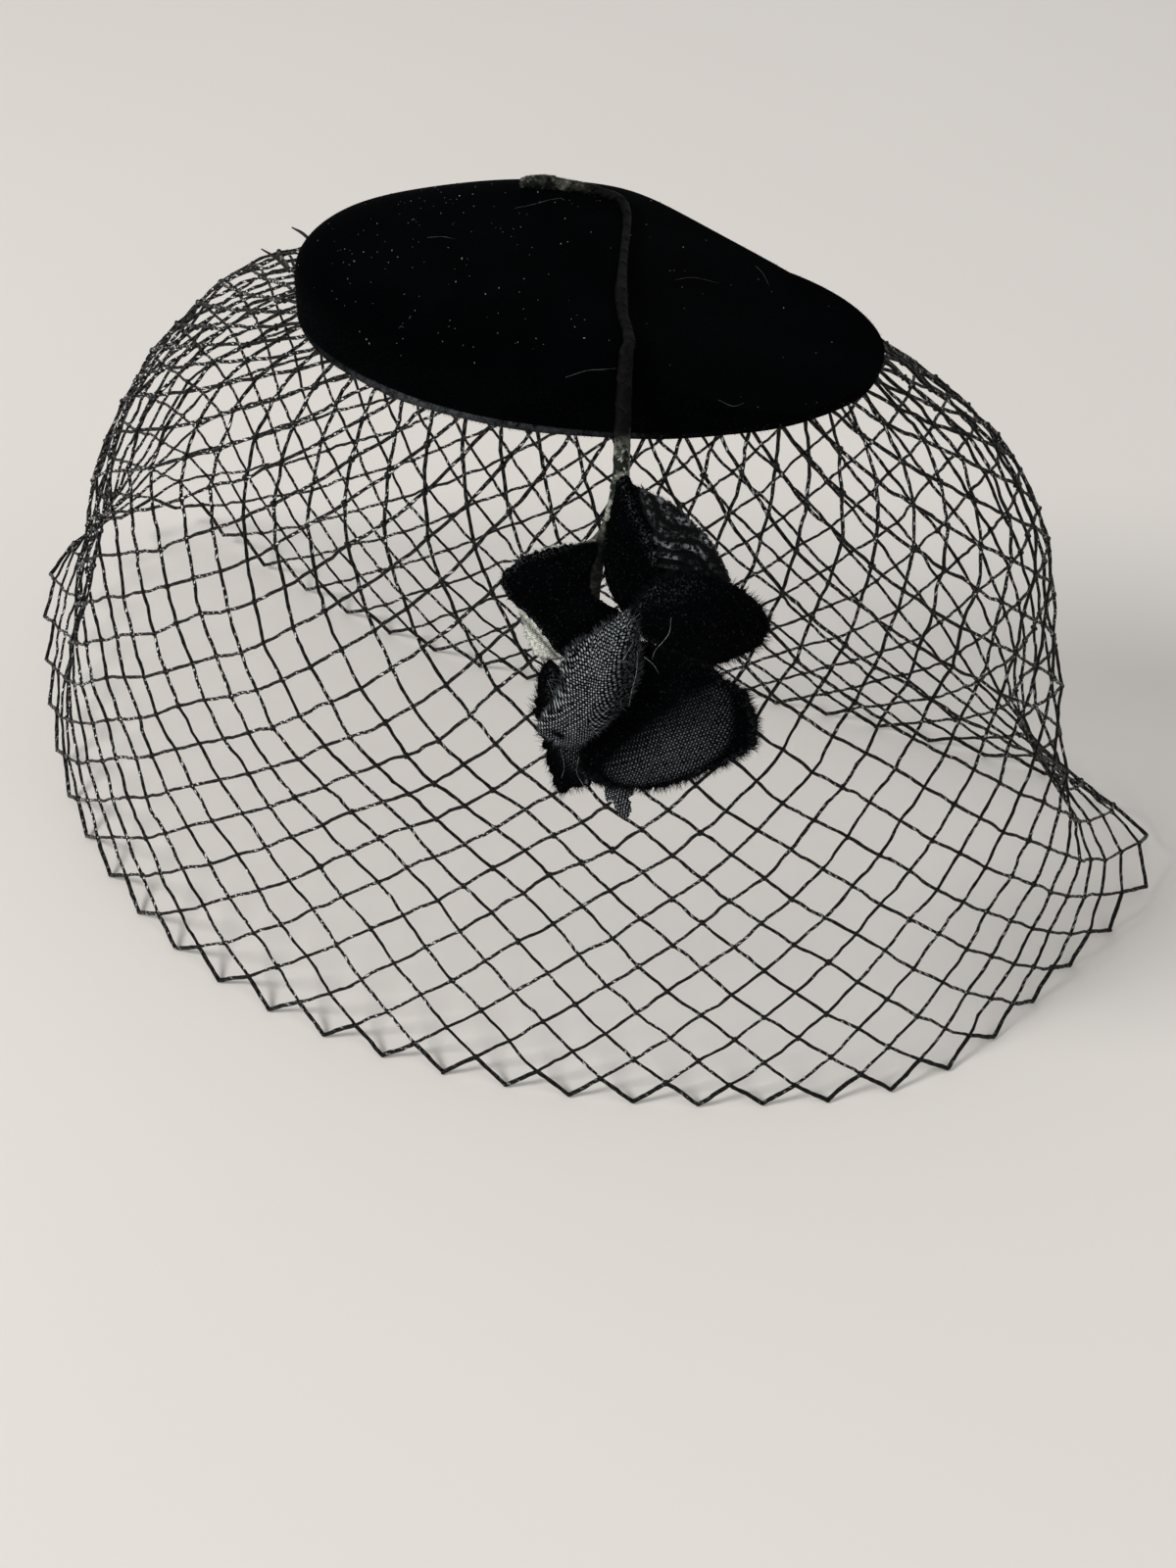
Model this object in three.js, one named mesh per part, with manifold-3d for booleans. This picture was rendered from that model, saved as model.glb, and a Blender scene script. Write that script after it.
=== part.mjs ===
// A velvet cocktail fascinator: an oval creased base, a birdcage veil, and a spray of
// velvet petals that hangs from a taped wire stem. Millimetres, +Z up, +X along the base.
import * as THREE from 'three';
import { mergeVertices } from 'three/addons/utils/BufferGeometryUtils.js';
import Module from 'manifold-3d';

// ---- driving dimensions --------------------------------------------------------------
const gap = 0.3; // clearance between neighbouring pieces

const base = {
  halfLength: 64.5, // along X
  halfWidth: 38.2, // along Y
  centreX: 0.4,
  centreY: 3.2,
  edgeHeight: 179, // lower edge above the surface
  band: 4, // upright band below the crown
  crown: 14, // crown above the band
  boxiness: 5, // superellipse exponent of the crown
  wall: 3,
  creaseX: 10.5, // where the fold crosses y = 0
  creaseLean: -0.207, // the fold runs slightly askew
  fallTop: 197, // height of the fold
  fall: 24, // how far the right half falls away
  fallLength: 32,
  foldRadius: 2.5,
};

const veil = {
  wall: 1.2,
  inset: 1.5, // its upper edge is this far inside the edge of the base
  shoulderHeight: 145,
  chestHeight: 100,
  waistHeight: 50,
  ribSteps: 3, // facets between two ribs
  heightSteps: 12,
};

// One row for each rib of the veil, counter-clockwise from the right end of the base.
// hemX, hemY: where the rib meets the surface; lift: how far its hem is off it;
// waist, chest, shoulder: how far out from the edge of the base (0) to the hem (1) it is there.
const ribs = [
  { hemX: 155, hemY: 46, lift: 2, waist: 0.56, chest: 0.5, shoulder: 0.38 },
  { hemX: 133, hemY: 72, lift: 0, waist: 0.62, chest: 0.54, shoulder: 0.38 },
  { hemX: 77, hemY: 84, lift: 0, waist: 0.75, chest: 0.62, shoulder: 0.45 },
  { hemX: 24, hemY: 89, lift: 0, waist: 0.75, chest: 0.62, shoulder: 0.45 },
  { hemX: -30, hemY: 82, lift: 0, waist: 0.8, chest: 0.65, shoulder: 0.45 },
  { hemX: -82, hemY: 93, lift: 0, waist: 0.8, chest: 0.65, shoulder: 0.45 },
  { hemX: -129, hemY: 114, lift: 0, waist: 0.8, chest: 0.65, shoulder: 0.47 },
  { hemX: -176, hemY: 134, lift: 0, waist: 0.79, chest: 0.61, shoulder: 0.4 },
  { hemX: -193, hemY: 92, lift: 12, waist: 0.74, chest: 0.6, shoulder: 0.37 },
  { hemX: -178, hemY: 48, lift: 12, waist: 0.76, chest: 0.63, shoulder: 0.42 },
  { hemX: -152, hemY: 1, lift: 1, waist: 0.88, chest: 0.74, shoulder: 0.53 },
  { hemX: -111, hemY: -39, lift: 0, waist: 0.78, chest: 0.64, shoulder: 0.44 },
  { hemX: -62, hemY: -62, lift: 0, waist: 0.47, chest: 0.6, shoulder: 0.44 },
  { hemX: -7, hemY: -69, lift: 0, waist: 0.4, chest: 0.46, shoulder: 0.36 },
  { hemX: 49, hemY: -63, lift: 0, waist: 0.56, chest: 0.46, shoulder: 0.3 },
  { hemX: 100, hemY: -43, lift: 0, waist: 0.66, chest: 0.44, shoulder: 0.32 },
  { hemX: 133, hemY: 3, lift: 0, waist: 0.86, chest: 0.68, shoulder: 0.5 },
];

const comb = {
  halfWidth: 27,
  spine: 6,
  toothLength: 30,
  toothWidth: 1.6,
  teeth: 13,
  thickness: 1.8,
  above: 0.8, // above the lower edge of the base
};

// The stem's route over the crown, with its height above it and its radius.
const stemRoute = [
  { x: -18, y: 29, above: 1.9, radius: 1.7 },
  { x: -13, y: 29.6, above: 2.1, radius: 2.1 },
  { x: -5, y: 29.2, above: 1.9, radius: 1.6 },
  { x: 1.5, y: 27.6, above: 1.8, radius: 1.5 },
  { x: 5, y: 22, above: 1.7, radius: 1.45 },
  { x: 7.8, y: 8, above: 1.7, radius: 1.45 },
  { x: 10.6, y: -8, above: 1.7, radius: 1.5 },
  { x: 14.5, y: -21.5, above: 1.8, radius: 1.6 },
  { x: 16.5, y: -31.5, above: 2, radius: 1.8 },
];
// In the spray's own axes: right, down and out.
const stemDrop = [
  { right: -1.5, down: -9.7, out: -2.6, radius: 2 },
  { right: -0.8, down: -3, out: 0.2, radius: 2.1 },
  { right: -1.2, down: 5.4, out: 1.5, radius: 2 },
  { right: -3.5, down: 16.5, out: 3.9, radius: 1.7 },
  { right: -4.5, down: 28.4, out: 4.7, radius: 1.5 },
  { right: -4.5, down: 36.8, out: 6, radius: 1.3 },
];
const branchRoute = [
  { right: -5, down: 18, out: 3, radius: 1.2 },
  { right: -12, down: 21, out: 1.2, radius: 1.1 },
  { right: -18, down: 27, out: 1.2, radius: 0.9 },
];

// The spray hangs on a plane that leans a little away from the veil. Its axes are
// right (along X), down (along the plane) and out (towards the front).
const spray = {
  originX: 20,
  originY: -47,
  originZ: 177,
  lean: 11, // degrees
  wall: 1.2,
  lengthSteps: 10,
  widthSteps: 8,
};

// One row for each petal. right, down, out: its root; heading: 0 is down, 90 is right;
// rise: how far it leaves the plane at its root; bend: how far it turns along its length;
// cup: how far it turns across its width; lip: how far its end rolls over, from lipFrom on
// (all turns in degrees); blunt: the exponent of its outline, 2 is an ellipse; widest: where
// along it the outline is widest.
const petals = [
  { name: 'petal_crushed', right: 0, down: 1, out: 3, length: 29, width: 15, heading: 46,
    rise: 10, bend: -15, cup: -45, blunt: 2, widest: 0.5, lip: 0, lipFrom: 0.9, colour: 0x0b0c10 },
  { name: 'petal_inner', right: 0, down: -1, out: 3.6, length: 31, width: 12, heading: 10,
    rise: 10, bend: -10, cup: -35, blunt: 1.8, widest: 0.5, lip: 0, lipFrom: 0.9, colour: 0x050608 },
  { name: 'petal_right', right: 3, down: 25, out: 7.4, length: 29.5, width: 19.5, heading: 92,
    rise: 14, bend: -30, cup: -35, blunt: 2, widest: 0.5, lip: 0, lipFrom: 0.9, colour: 0x050608 },
  { name: 'petal_left', right: -4, down: 24, out: 4, length: 21, width: 23, heading: -84,
    rise: 8, bend: -15, cup: 25, blunt: 1.9, widest: 0.36, lip: 0, lipFrom: 0.9, colour: 0x050608 },
  { name: 'petal_left_back', right: -9.2, down: 39.7, out: 3, length: 16, width: 8, heading: -131,
    rise: 0, bend: 10, cup: 15, blunt: 1.8, widest: 0.5, lip: 0, lipFrom: 0.9, colour: 0x8d9384 },
  { name: 'petal_folded', right: 5, down: 27.5, out: 10, length: 36, width: 20, heading: -27,
    rise: 14, bend: -35, cup: -100, blunt: 2.2, widest: 0.5, lip: 0, lipFrom: 0.9, colour: 0x2b2d31 },
  { name: 'petal_bottom', right: 5, down: 33, out: 7, length: 44, width: 33, heading: 24,
    rise: -5, bend: 5, cup: 20, blunt: 3, widest: 0.5, lip: 200, lipFrom: 0.6, colour: 0x0b0c10 },
  { name: 'petal_low_left', right: -9.4, down: 39.5, out: 4, length: 31, width: 13, heading: 9,
    rise: 0, bend: 5, cup: 20, blunt: 3, widest: 0.5, lip: 0, lipFrom: 0.9, colour: 0x050608 },
  { name: 'cloth_tab', right: 2, down: 59, out: 5, length: 18, width: 6, heading: 14,
    rise: -4, bend: 0, cup: 10, blunt: 3, widest: 0.5, lip: 0, lipFrom: 0.9, colour: 0x2b2d31 },
];

// ---- helpers -------------------------------------------------------------------------
const turn = (degrees) => THREE.MathUtils.degToRad(degrees);
const mix = THREE.MathUtils.lerp;

/** Catmull-Rom value at t between b and c. */
function between(a, b, c, d, t) {
  return 0.5 * (2 * b + (c - a) * t + (2 * a - 5 * b + 4 * c - d) * t * t
    + (3 * b - 3 * c + d - a) * t * t * t);
}

/** A named column of the ribs table at u, 0 to 1 round the veil. */
function ribValue(column, u) {
  const count = ribs.length;
  const place = ((u % 1) + 1) % 1 * count;
  const index = Math.floor(place);
  const row = (step) => ribs[(index + step + count) % count][column];
  return between(row(-1), row(0), row(1), row(2), place - index);
}

/** A closed surface from rings of points; each ring and the stack of rings can close. */
function ringsToGeometry(rings, { stackCloses = false } = {}) {
  const around = rings[0].length;
  const positions = rings.flat().flatMap((p) => [p.x, p.y, p.z]);
  const index = [];
  const last = stackCloses ? rings.length : rings.length - 1;
  for (let r = 0; r < last; r += 1) {
    const next = (r + 1) % rings.length;
    for (let k = 0; k < around; k += 1) {
      const a = r * around + k;
      const b = r * around + (k + 1) % around;
      const c = next * around + (k + 1) % around;
      const d = next * around + k;
      index.push(a, b, c, a, c, d);
    }
  }
  if (!stackCloses) {
    for (const [ring, flip] of [[0, true], [rings.length - 1, false]]) {
      const centre = new THREE.Vector3();
      rings[ring].forEach((p) => centre.add(p));
      centre.divideScalar(around);
      const middle = positions.length / 3;
      positions.push(centre.x, centre.y, centre.z);
      for (let k = 0; k < around; k += 1) {
        const a = ring * around + k;
        const b = ring * around + (k + 1) % around;
        index.push(...(flip ? [middle, b, a] : [middle, a, b]));
      }
    }
  }
  const geometry = new THREE.BufferGeometry();
  geometry.setAttribute('position', new THREE.Float32BufferAttribute(positions, 3));
  geometry.setIndex(index);
  return pointOut(geometry);
}

/** Six times the signed volume decides which way the faces are wound. */
function pointOut(geometry) {
  const p = geometry.attributes.position;
  const index = geometry.index.array;
  const corner = (k) => new THREE.Vector3().fromBufferAttribute(p, index[k]);
  let volume = 0;
  for (let k = 0; k < index.length; k += 3) {
    volume += corner(k).dot(corner(k + 1).cross(corner(k + 2)));
  }
  if (volume < 0) {
    for (let k = 0; k < index.length; k += 3) {
      [index[k + 1], index[k + 2]] = [index[k + 2], index[k + 1]];
    }
  }
  return geometry;
}

// ---- velvet base ---------------------------------------------------------------------
function onEllipse(angle, inset, scale = 1) {
  return {
    x: base.centreX + (base.halfLength - inset) * scale * Math.cos(angle),
    y: base.centreY + (base.halfWidth - inset) * scale * Math.sin(angle),
  };
}

/** Height of the crown over a plan point; depth lowers the whole skin, as for the inside. */
function crownZ(x, y, rise, depth) {
  const dome = base.edgeHeight + base.band - depth * 0.4 + (base.crown - depth * 0.6) * rise;
  const past = x - (base.creaseX + base.creaseLean * y);
  const falling = base.fallTop - depth
    - base.fall * (1 - Math.exp(-Math.max(past, -12) / base.fallLength));
  const soft = base.foldRadius;
  return -soft * Math.log(Math.exp(-dome / soft) + Math.exp(-falling / soft));
}

/** The base as a shell; grow makes all its outside larger, for cutting a clearance. */
function velvetBase(grow = 0) {
  const around = 60;
  const steps = 9;
  const ring = (fn) => Array.from({ length: around }, (_, k) => fn((k / around) * 2 * Math.PI));
  const skin = (inset, depth) => {
    const rings = [];
    for (let s = 1; s <= steps; s += 1) {
      const out = 1 - (1 - s / steps) ** 2; // closer together towards the edge
      const rise = (1 - out ** base.boxiness) ** (1 / base.boxiness);
      rings.push(ring((angle) => {
        const { x, y } = onEllipse(angle, inset, out);
        const z = Math.max(crownZ(x, y, rise, depth), base.edgeHeight + 1.6 - depth * 0.3);
        return new THREE.Vector3(x, y, z);
      }));
    }
    return rings;
  };
  const edge = (inset, up) => ring((angle) => {
    const { x, y } = onEllipse(angle, inset);
    return new THREE.Vector3(x, y, base.edgeHeight + up);
  });
  const outer = skin(-grow, -grow);
  const inner = skin(base.wall, base.wall).reverse();
  return ringsToGeometry([
    ...outer,
    edge(-grow, 1), edge(0.7, 0), edge(base.wall, 0),
    ...inner,
  ]);
}

// ---- veil ----------------------------------------------------------------------------
/** A point of the veil: u round it, v from its upper edge (0) to its hem (1). */
function veilPoint(u, v, inset) {
  const top = onEllipse(u * 2 * Math.PI, veil.inset);
  const lift = Math.max(ribValue('lift', u), 0);
  const profile = [
    { out: 0, z: base.edgeHeight - gap },
    { out: ribValue('shoulder', u), z: veil.shoulderHeight },
    { out: ribValue('chest', u), z: veil.chestHeight },
    { out: ribValue('waist', u), z: veil.waistHeight + lift / 2 },
    { out: 1, z: lift },
  ];
  const spans = profile.length - 1;
  const index = Math.min(Math.floor(v * spans), spans - 1);
  const at = (k, column) => {
    if (k < 0) return 2 * profile[0][column] - profile[1][column];
    if (k > spans) return 2 * profile[spans][column] - profile[spans - 1][column];
    return profile[k][column];
  };
  const value = (column) => between(at(index - 1, column), at(index, column),
    at(index + 1, column), at(index + 2, column), v * spans - index);
  const out = value('out');
  const x = mix(top.x, ribValue('hemX', u), out);
  const y = mix(top.y, ribValue('hemY', u), out);
  const inwards = new THREE.Vector2(base.centreX - x, base.centreY - y).setLength(inset);
  return new THREE.Vector3(x + inwards.x, y + inwards.y, value('z'));
}

function veilShell() {
  const around = ribs.length * veil.ribSteps;
  const rings = [];
  for (const [inset, order] of [[0, 1], [veil.wall, -1]]) {
    for (let s = 0; s <= veil.heightSteps; s += 1) {
      const v = (order > 0 ? s : veil.heightSteps - s) / veil.heightSteps;
      rings.push(Array.from({ length: around }, (_, k) => veilPoint(k / around, v, inset)));
    }
  }
  return ringsToGeometry(rings, { stackCloses: true });
}

// ---- stem ----------------------------------------------------------------------------
/** A point in the spray's own axes, as a point of the object. */
function onSpray(right, down, out) {
  const lean = turn(spray.lean);
  return new THREE.Vector3(
    spray.originX + right,
    spray.originY - down * Math.sin(lean) - out * Math.cos(lean),
    spray.originZ - down * Math.cos(lean) + out * Math.sin(lean),
  );
}

function crownAt(x, y) {
  const out = Math.hypot((x - base.centreX) / base.halfLength, (y - base.centreY) / base.halfWidth);
  const rise = Math.max(1 - out ** base.boxiness, 0) ** (1 / base.boxiness);
  return crownZ(x, y, rise, 0);
}

function tube(route, extra, stepsPerSpan = 3) {
  const sides = 8;
  const curve = new THREE.CatmullRomCurve3(route.map((p) => new THREE.Vector3(p.x, p.y, p.z)));
  const steps = (route.length - 1) * stepsPerSpan;
  const frames = curve.computeFrenetFrames(steps, false);
  const rings = [];
  for (let s = 0; s <= steps; s += 1) {
    const centre = curve.getPointAt(s / steps);
    const place = (s / steps) * (route.length - 1);
    const index = Math.min(Math.floor(place), route.length - 2);
    const radius = mix(route[index].radius, route[index + 1].radius, place - index) + extra;
    rings.push(Array.from({ length: sides }, (_, k) => {
      const angle = (k / sides) * 2 * Math.PI;
      return centre.clone()
        .addScaledVector(frames.normals[s], radius * Math.cos(angle))
        .addScaledVector(frames.binormals[s], radius * Math.sin(angle));
    }));
  }
  return ringsToGeometry(rings);
}

function stem(extra = 0) {
  const overCrown = stemRoute.map((p) => ({ ...p, z: crownAt(p.x, p.y) + p.above }));
  const hanging = stemDrop.map((p) => ({ ...onSpray(p.right, p.down, p.out), radius: p.radius }));
  return tube([...overCrown, ...hanging], extra);
}

/** The twig to the left petals. */
function stemBranch(extra = 0) {
  return tube(branchRoute.map((p) => ({ ...onSpray(p.right, p.down, p.out), radius: p.radius })), extra);
}

// ---- petals --------------------------------------------------------------------------
/** The midline of a petal: how far it has run, how far it has lifted, and its slope. */
function midline(petal, s) {
  const slopeAt = (place) => {
    const past = THREE.MathUtils.smoothstep(place, petal.lipFrom, 1);
    return turn(petal.rise + petal.bend * place + petal.lip * past);
  };
  const steps = 24;
  let run = 0;
  let lifted = 0;
  for (let k = 0; k < steps; k += 1) {
    const slope = slopeAt((k + 0.5) * s / steps);
    run += Math.cos(slope) * petal.length * s / steps;
    lifted += Math.sin(slope) * petal.length * s / steps;
  }
  return { run, lifted, slope: slopeAt(s) };
}

/** A point of a petal: s along it, 0 to 1; t across it, -1 to 1; off: off its middle skin. */
function petalPoint(petal, s, t, off) {
  const along = s ** (Math.log(0.5) / Math.log(petal.widest));
  const outline = Math.max(1 - Math.abs(2 * along - 1) ** petal.blunt, 0) ** (1 / petal.blunt);
  const share = Math.max(outline, 0.12);
  const curve = turn(petal.cup) * t / 2;
  const radius = petal.width / turn(petal.cup);
  const side = (radius - off) * Math.sin(curve) * share;
  const face = radius * (1 - Math.cos(curve)) * share * share + off * Math.cos(curve);
  const { run, lifted, slope } = midline(petal, s);
  const forward = run - face * Math.sin(slope);
  const heading = turn(petal.heading);
  return onSpray(
    petal.right + forward * Math.sin(heading) + side * Math.cos(heading),
    petal.down + forward * Math.cos(heading) - side * Math.sin(heading),
    petal.out + lifted + face * Math.cos(slope),
  );
}

/** A petal as a thin shell; extra makes it larger all round, for cutting a clearance. */
function petalShell(row, extra = 0) {
  const heading = turn(row.heading);
  const petal = {
    ...row,
    right: row.right - extra * Math.sin(heading),
    down: row.down - extra * Math.cos(heading),
    width: row.width + 2 * extra,
    length: row.length + 2 * extra,
  };
  const rings = [];
  const half = spray.wall / 2 + extra;
  for (let s = 0; s <= spray.lengthSteps; s += 1) {
    const ring = [];
    for (let k = 0; k <= spray.widthSteps; k += 1) {
      ring.push(petalPoint(petal, s / spray.lengthSteps, 2 * k / spray.widthSteps - 1, half));
    }
    for (let k = spray.widthSteps; k >= 0; k -= 1) {
      ring.push(petalPoint(petal, s / spray.lengthSteps, 2 * k / spray.widthSteps - 1, -half));
    }
    rings.push(ring);
  }
  return ringsToGeometry(rings);
}

// ---- hair comb -----------------------------------------------------------------------
function hairComb() {
  const inset = base.wall + gap;
  const rimX = base.halfLength - inset;
  const rimY = base.halfWidth - inset;
  const outline = new THREE.Shape();
  const edgeSteps = 12;
  for (let k = 0; k <= edgeSteps; k += 1) {
    const x = mix(-comb.halfWidth, comb.halfWidth, k / edgeSteps);
    const y = -rimY * Math.sqrt(1 - (x / rimX) ** 2);
    if (k === 0) outline.moveTo(x, y);
    else outline.lineTo(x, y);
  }
  const spineY = -rimY + comb.spine;
  const pitch = 2 * comb.halfWidth / comb.teeth;
  outline.lineTo(comb.halfWidth, spineY);
  for (let k = comb.teeth - 1; k >= 0; k -= 1) {
    const centre = -comb.halfWidth + (k + 0.5) * pitch;
    const half = comb.toothWidth / 2;
    outline.lineTo(centre + half, spineY);
    outline.lineTo(centre + half * 0.6, spineY + comb.toothLength);
    outline.lineTo(centre - half * 0.6, spineY + comb.toothLength);
    outline.lineTo(centre - half, spineY);
  }
  outline.lineTo(-comb.halfWidth, spineY);
  outline.closePath();
  return new THREE.ExtrudeGeometry(outline, { depth: comb.thickness, bevelEnabled: false });
}

// ---- cutting one piece clear of another ----------------------------------------------
const wasm = await Module();
wasm.setup();

function toSolid(geometry) {
  const bare = new THREE.BufferGeometry();
  bare.setAttribute('position', geometry.attributes.position.clone());
  if (geometry.index) bare.setIndex(geometry.index.clone());
  const merged = mergeVertices(bare, 1e-4);
  return new wasm.Manifold(new wasm.Mesh({
    numProp: 3,
    vertProperties: Float32Array.from(merged.attributes.position.array),
    triVerts: Uint32Array.from(merged.index.array),
  }));
}

function toGeometry(solid) {
  const mesh = solid.getMesh();
  const geometry = new THREE.BufferGeometry();
  geometry.setAttribute('position', new THREE.BufferAttribute(mesh.vertProperties, 3));
  geometry.setIndex(new THREE.BufferAttribute(mesh.triVerts, 1));
  return geometry;
}

/** The largest body of a piece once its neighbours' clearances are cut away. */
function clearOf(geometry, neighbours) {
  let solid = toSolid(geometry);
  for (const neighbour of neighbours) solid = solid.subtract(toSolid(neighbour));
  const bodies = solid.decompose();
  bodies.sort((a, b) => b.volume() - a.volume());
  return toGeometry(bodies[0]);
}

// ---- the object ----------------------------------------------------------------------
const finish = (color, roughness) => new THREE.MeshStandardMaterial({ color, roughness, metalness: 0 });

function piece(name, geometry, material) {
  const mesh = new THREE.Mesh(geometry, material);
  mesh.name = name;
  return mesh;
}

const fascinator = new THREE.Group();
const baseGeometry = velvetBase();
const veilGeometry = veilShell();
const stemGeometry = clearOf(stem(), [velvetBase(gap)]);
const branchGeometry = clearOf(stemBranch(), [stem(gap)]);
fascinator.add(
  piece('velvet_base', baseGeometry, finish(0x050608, 0.95)),
  piece('veil', veilGeometry, finish(0x111214, 0.6)),
  piece('stem', stemGeometry, finish(0x3c3f3a, 0.8)),
  piece('stem_branch', branchGeometry, finish(0x6f756a, 0.8)),
);

const combMesh = piece('hair_comb', hairComb(), finish(0x16171a, 0.4));
combMesh.position.set(base.centreX, base.centreY, base.edgeHeight + comb.above);
fascinator.add(combMesh);

const placed = [stem(gap), stemBranch(gap)];
for (const petal of petals) {
  fascinator.add(piece(petal.name, clearOf(petalShell(petal), placed), finish(petal.colour, 0.95)));
  placed.push(petalShell(petal, gap));
}

// The origin is on the surface, under the middle of the whole.
const whole = new THREE.Box3().setFromObject(fascinator).getCenter(new THREE.Vector3());
fascinator.position.set(-whole.x, -whole.y, 0);

export default fascinator;
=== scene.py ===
import math

import bpy
import numpy as np
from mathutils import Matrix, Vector


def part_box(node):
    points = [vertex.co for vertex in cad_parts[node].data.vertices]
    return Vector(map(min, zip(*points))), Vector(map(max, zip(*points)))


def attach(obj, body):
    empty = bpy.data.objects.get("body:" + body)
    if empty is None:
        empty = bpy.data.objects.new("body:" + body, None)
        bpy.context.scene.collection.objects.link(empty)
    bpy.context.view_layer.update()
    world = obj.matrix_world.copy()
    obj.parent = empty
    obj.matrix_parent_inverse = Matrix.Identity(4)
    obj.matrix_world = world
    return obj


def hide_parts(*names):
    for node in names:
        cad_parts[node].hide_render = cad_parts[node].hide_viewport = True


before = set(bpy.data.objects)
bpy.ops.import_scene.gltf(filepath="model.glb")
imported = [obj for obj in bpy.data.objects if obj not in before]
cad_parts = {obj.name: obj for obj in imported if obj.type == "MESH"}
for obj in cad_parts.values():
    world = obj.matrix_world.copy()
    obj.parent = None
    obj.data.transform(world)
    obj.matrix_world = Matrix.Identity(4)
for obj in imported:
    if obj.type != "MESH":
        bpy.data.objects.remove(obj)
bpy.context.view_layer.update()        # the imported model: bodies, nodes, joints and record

mm = 0.001

# plan positions are in millimetres, from a point near the middle of the base
hat = {
    "middleX": 0.4, "middleY": 3.2,
    "halfLength": 64.5, "halfWidth": 38.2,
    "edgeHeight": 179.0,
    "band": 4.0, "crown": 14.0, "boxiness": 5.0, "wall": 3.0,
    "creaseX": 10.5, "creaseLean": -0.207,
    "fallTop": 197.0, "fall": 24.0, "fallLength": 32.0, "foldRadius": 2.5,
    "around": 180, "rings": 44, "lowestSkin": 1.6, "unevenness": 0.3,
    # how far in and how far up the edge goes as it turns under
    "underEdge": ((0, 1.3), (0.05, 0.8), (0.3, 0.3), (0.8, 0.0), (1.6, -0.15), (3.0, 0.2)),
}
hatLow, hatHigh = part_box("velvet_base")
planZero = np.array([
    (hatLow[0] + hatHigh[0]) / 2 / mm - hat["middleX"],
    (hatLow[1] + hatHigh[1]) / 2 / mm - hat["middleY"],
    0.0,
])


def inFrame(points):
    # millimetres from the plan's zero to metres in the frame
    return (np.asarray(points, dtype=float) + planZero) * mm


def nodeIn(tree, kind, values=None, **settings):
    # a value that is a socket is linked, any other is set
    made = tree.nodes.new(kind)
    for key, value in settings.items():
        setattr(made, key, value)
    for key, value in (values or {}).items():
        if isinstance(value, bpy.types.NodeSocket):
            tree.links.new(value, made.inputs[key])
        else:
            made.inputs[key].default_value = value
    return made


def calc(tree, operation, *values):
    return nodeIn(tree, "ShaderNodeMath", dict(enumerate(values)), operation=operation).outputs[0]


def product(tree, first, *others):
    for other in others:
        first = calc(tree, "MULTIPLY", first, other)
    return first


def vectorCalc(tree, operation, first, second):
    # the second value of a SCALE is a number, which has a socket of its own
    values = {0: first, "Scale" if operation == "SCALE" else 1: second}
    return nodeIn(tree, "ShaderNodeVectorMath", values, operation=operation).outputs[0]


def blendColour(tree, share, low, high):
    low, high = ((*colour, 1.0) if isinstance(colour, tuple) else colour for colour in (low, high))
    return nodeIn(tree, "ShaderNodeMix", {0: share, 6: low, 7: high}, data_type="RGBA").outputs[2]


def spread(tree, value, low, high, outLow=0.0, outHigh=1.0):
    # a soft step from outLow to outHigh as the value goes from low to high
    values = {0: value, 1: low, 2: high, 3: outLow, 4: outHigh}
    return nodeIn(tree, "ShaderNodeMapRange", values, interpolation_type="SMOOTHSTEP").outputs[0]


def noiseOn(tree, place, scale, detail, output="Fac", distortion=0.0):
    values = {"Vector": place, "Scale": scale, "Detail": detail, "Distortion": distortion}
    return nodeIn(tree, "ShaderNodeTexNoise", values).outputs[output]


def objectPlace(tree):
    return nodeIn(tree, "ShaderNodeTexCoord").outputs["Object"]


def clothPlace(tree):
    return nodeIn(tree, "ShaderNodeUVMap", uv_map="cloth").outputs["UV"]


def attributeOf(tree, name, output="Fac"):
    return nodeIn(tree, "ShaderNodeAttribute", attribute_name=name).outputs[output]


def newTree(name, treeKind, inputs, outputs):
    # an input is a number, which sets its own kind of socket, or the name of a kind
    tree = bpy.data.node_groups.new(name, treeKind)
    for way, sockets in (("INPUT", inputs), ("OUTPUT", outputs)):
        for title, value in sockets.items():
            number = "NodeSocketInt" if isinstance(value, int) else "NodeSocketFloat"
            named = isinstance(value, str)
            socket = tree.interface.new_socket(title, in_out=way, socket_type=value if named else number)
            if not named:
                socket.default_value = value
    return tree, tree.nodes.new("NodeGroupInput").outputs, tree.nodes.new("NodeGroupOutput").inputs


def meshObject(name, points, faces, material, edges=(), smooth=True):
    mesh = bpy.data.meshes.new(name)
    mesh.from_pydata([tuple(p) for p in points], [tuple(e) for e in edges], [tuple(f) for f in faces])
    mesh.update()
    if smooth and len(mesh.polygons):
        mesh.polygons.foreach_set("use_smooth", [True] * len(mesh.polygons))
    if material:
        mesh.materials.append(material)
    made = bpy.data.objects.new(name, mesh)
    bpy.context.scene.collection.objects.link(made)
    return made


def addFloat(piece, name, values):
    layer = piece.data.attributes.new(name, "FLOAT", "POINT")
    layer.data.foreach_set("value", np.asarray(values, dtype=np.float32).ravel())


def addVector(piece, name, values):
    layer = piece.data.attributes.new(name, "FLOAT_VECTOR", "POINT")
    layer.data.foreach_set("vector", np.asarray(values, dtype=np.float32).ravel())


def finishPiece(piece, slot, *nodes):
    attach(piece, "root")
    if nodes:
        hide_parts(*nodes)


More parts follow.
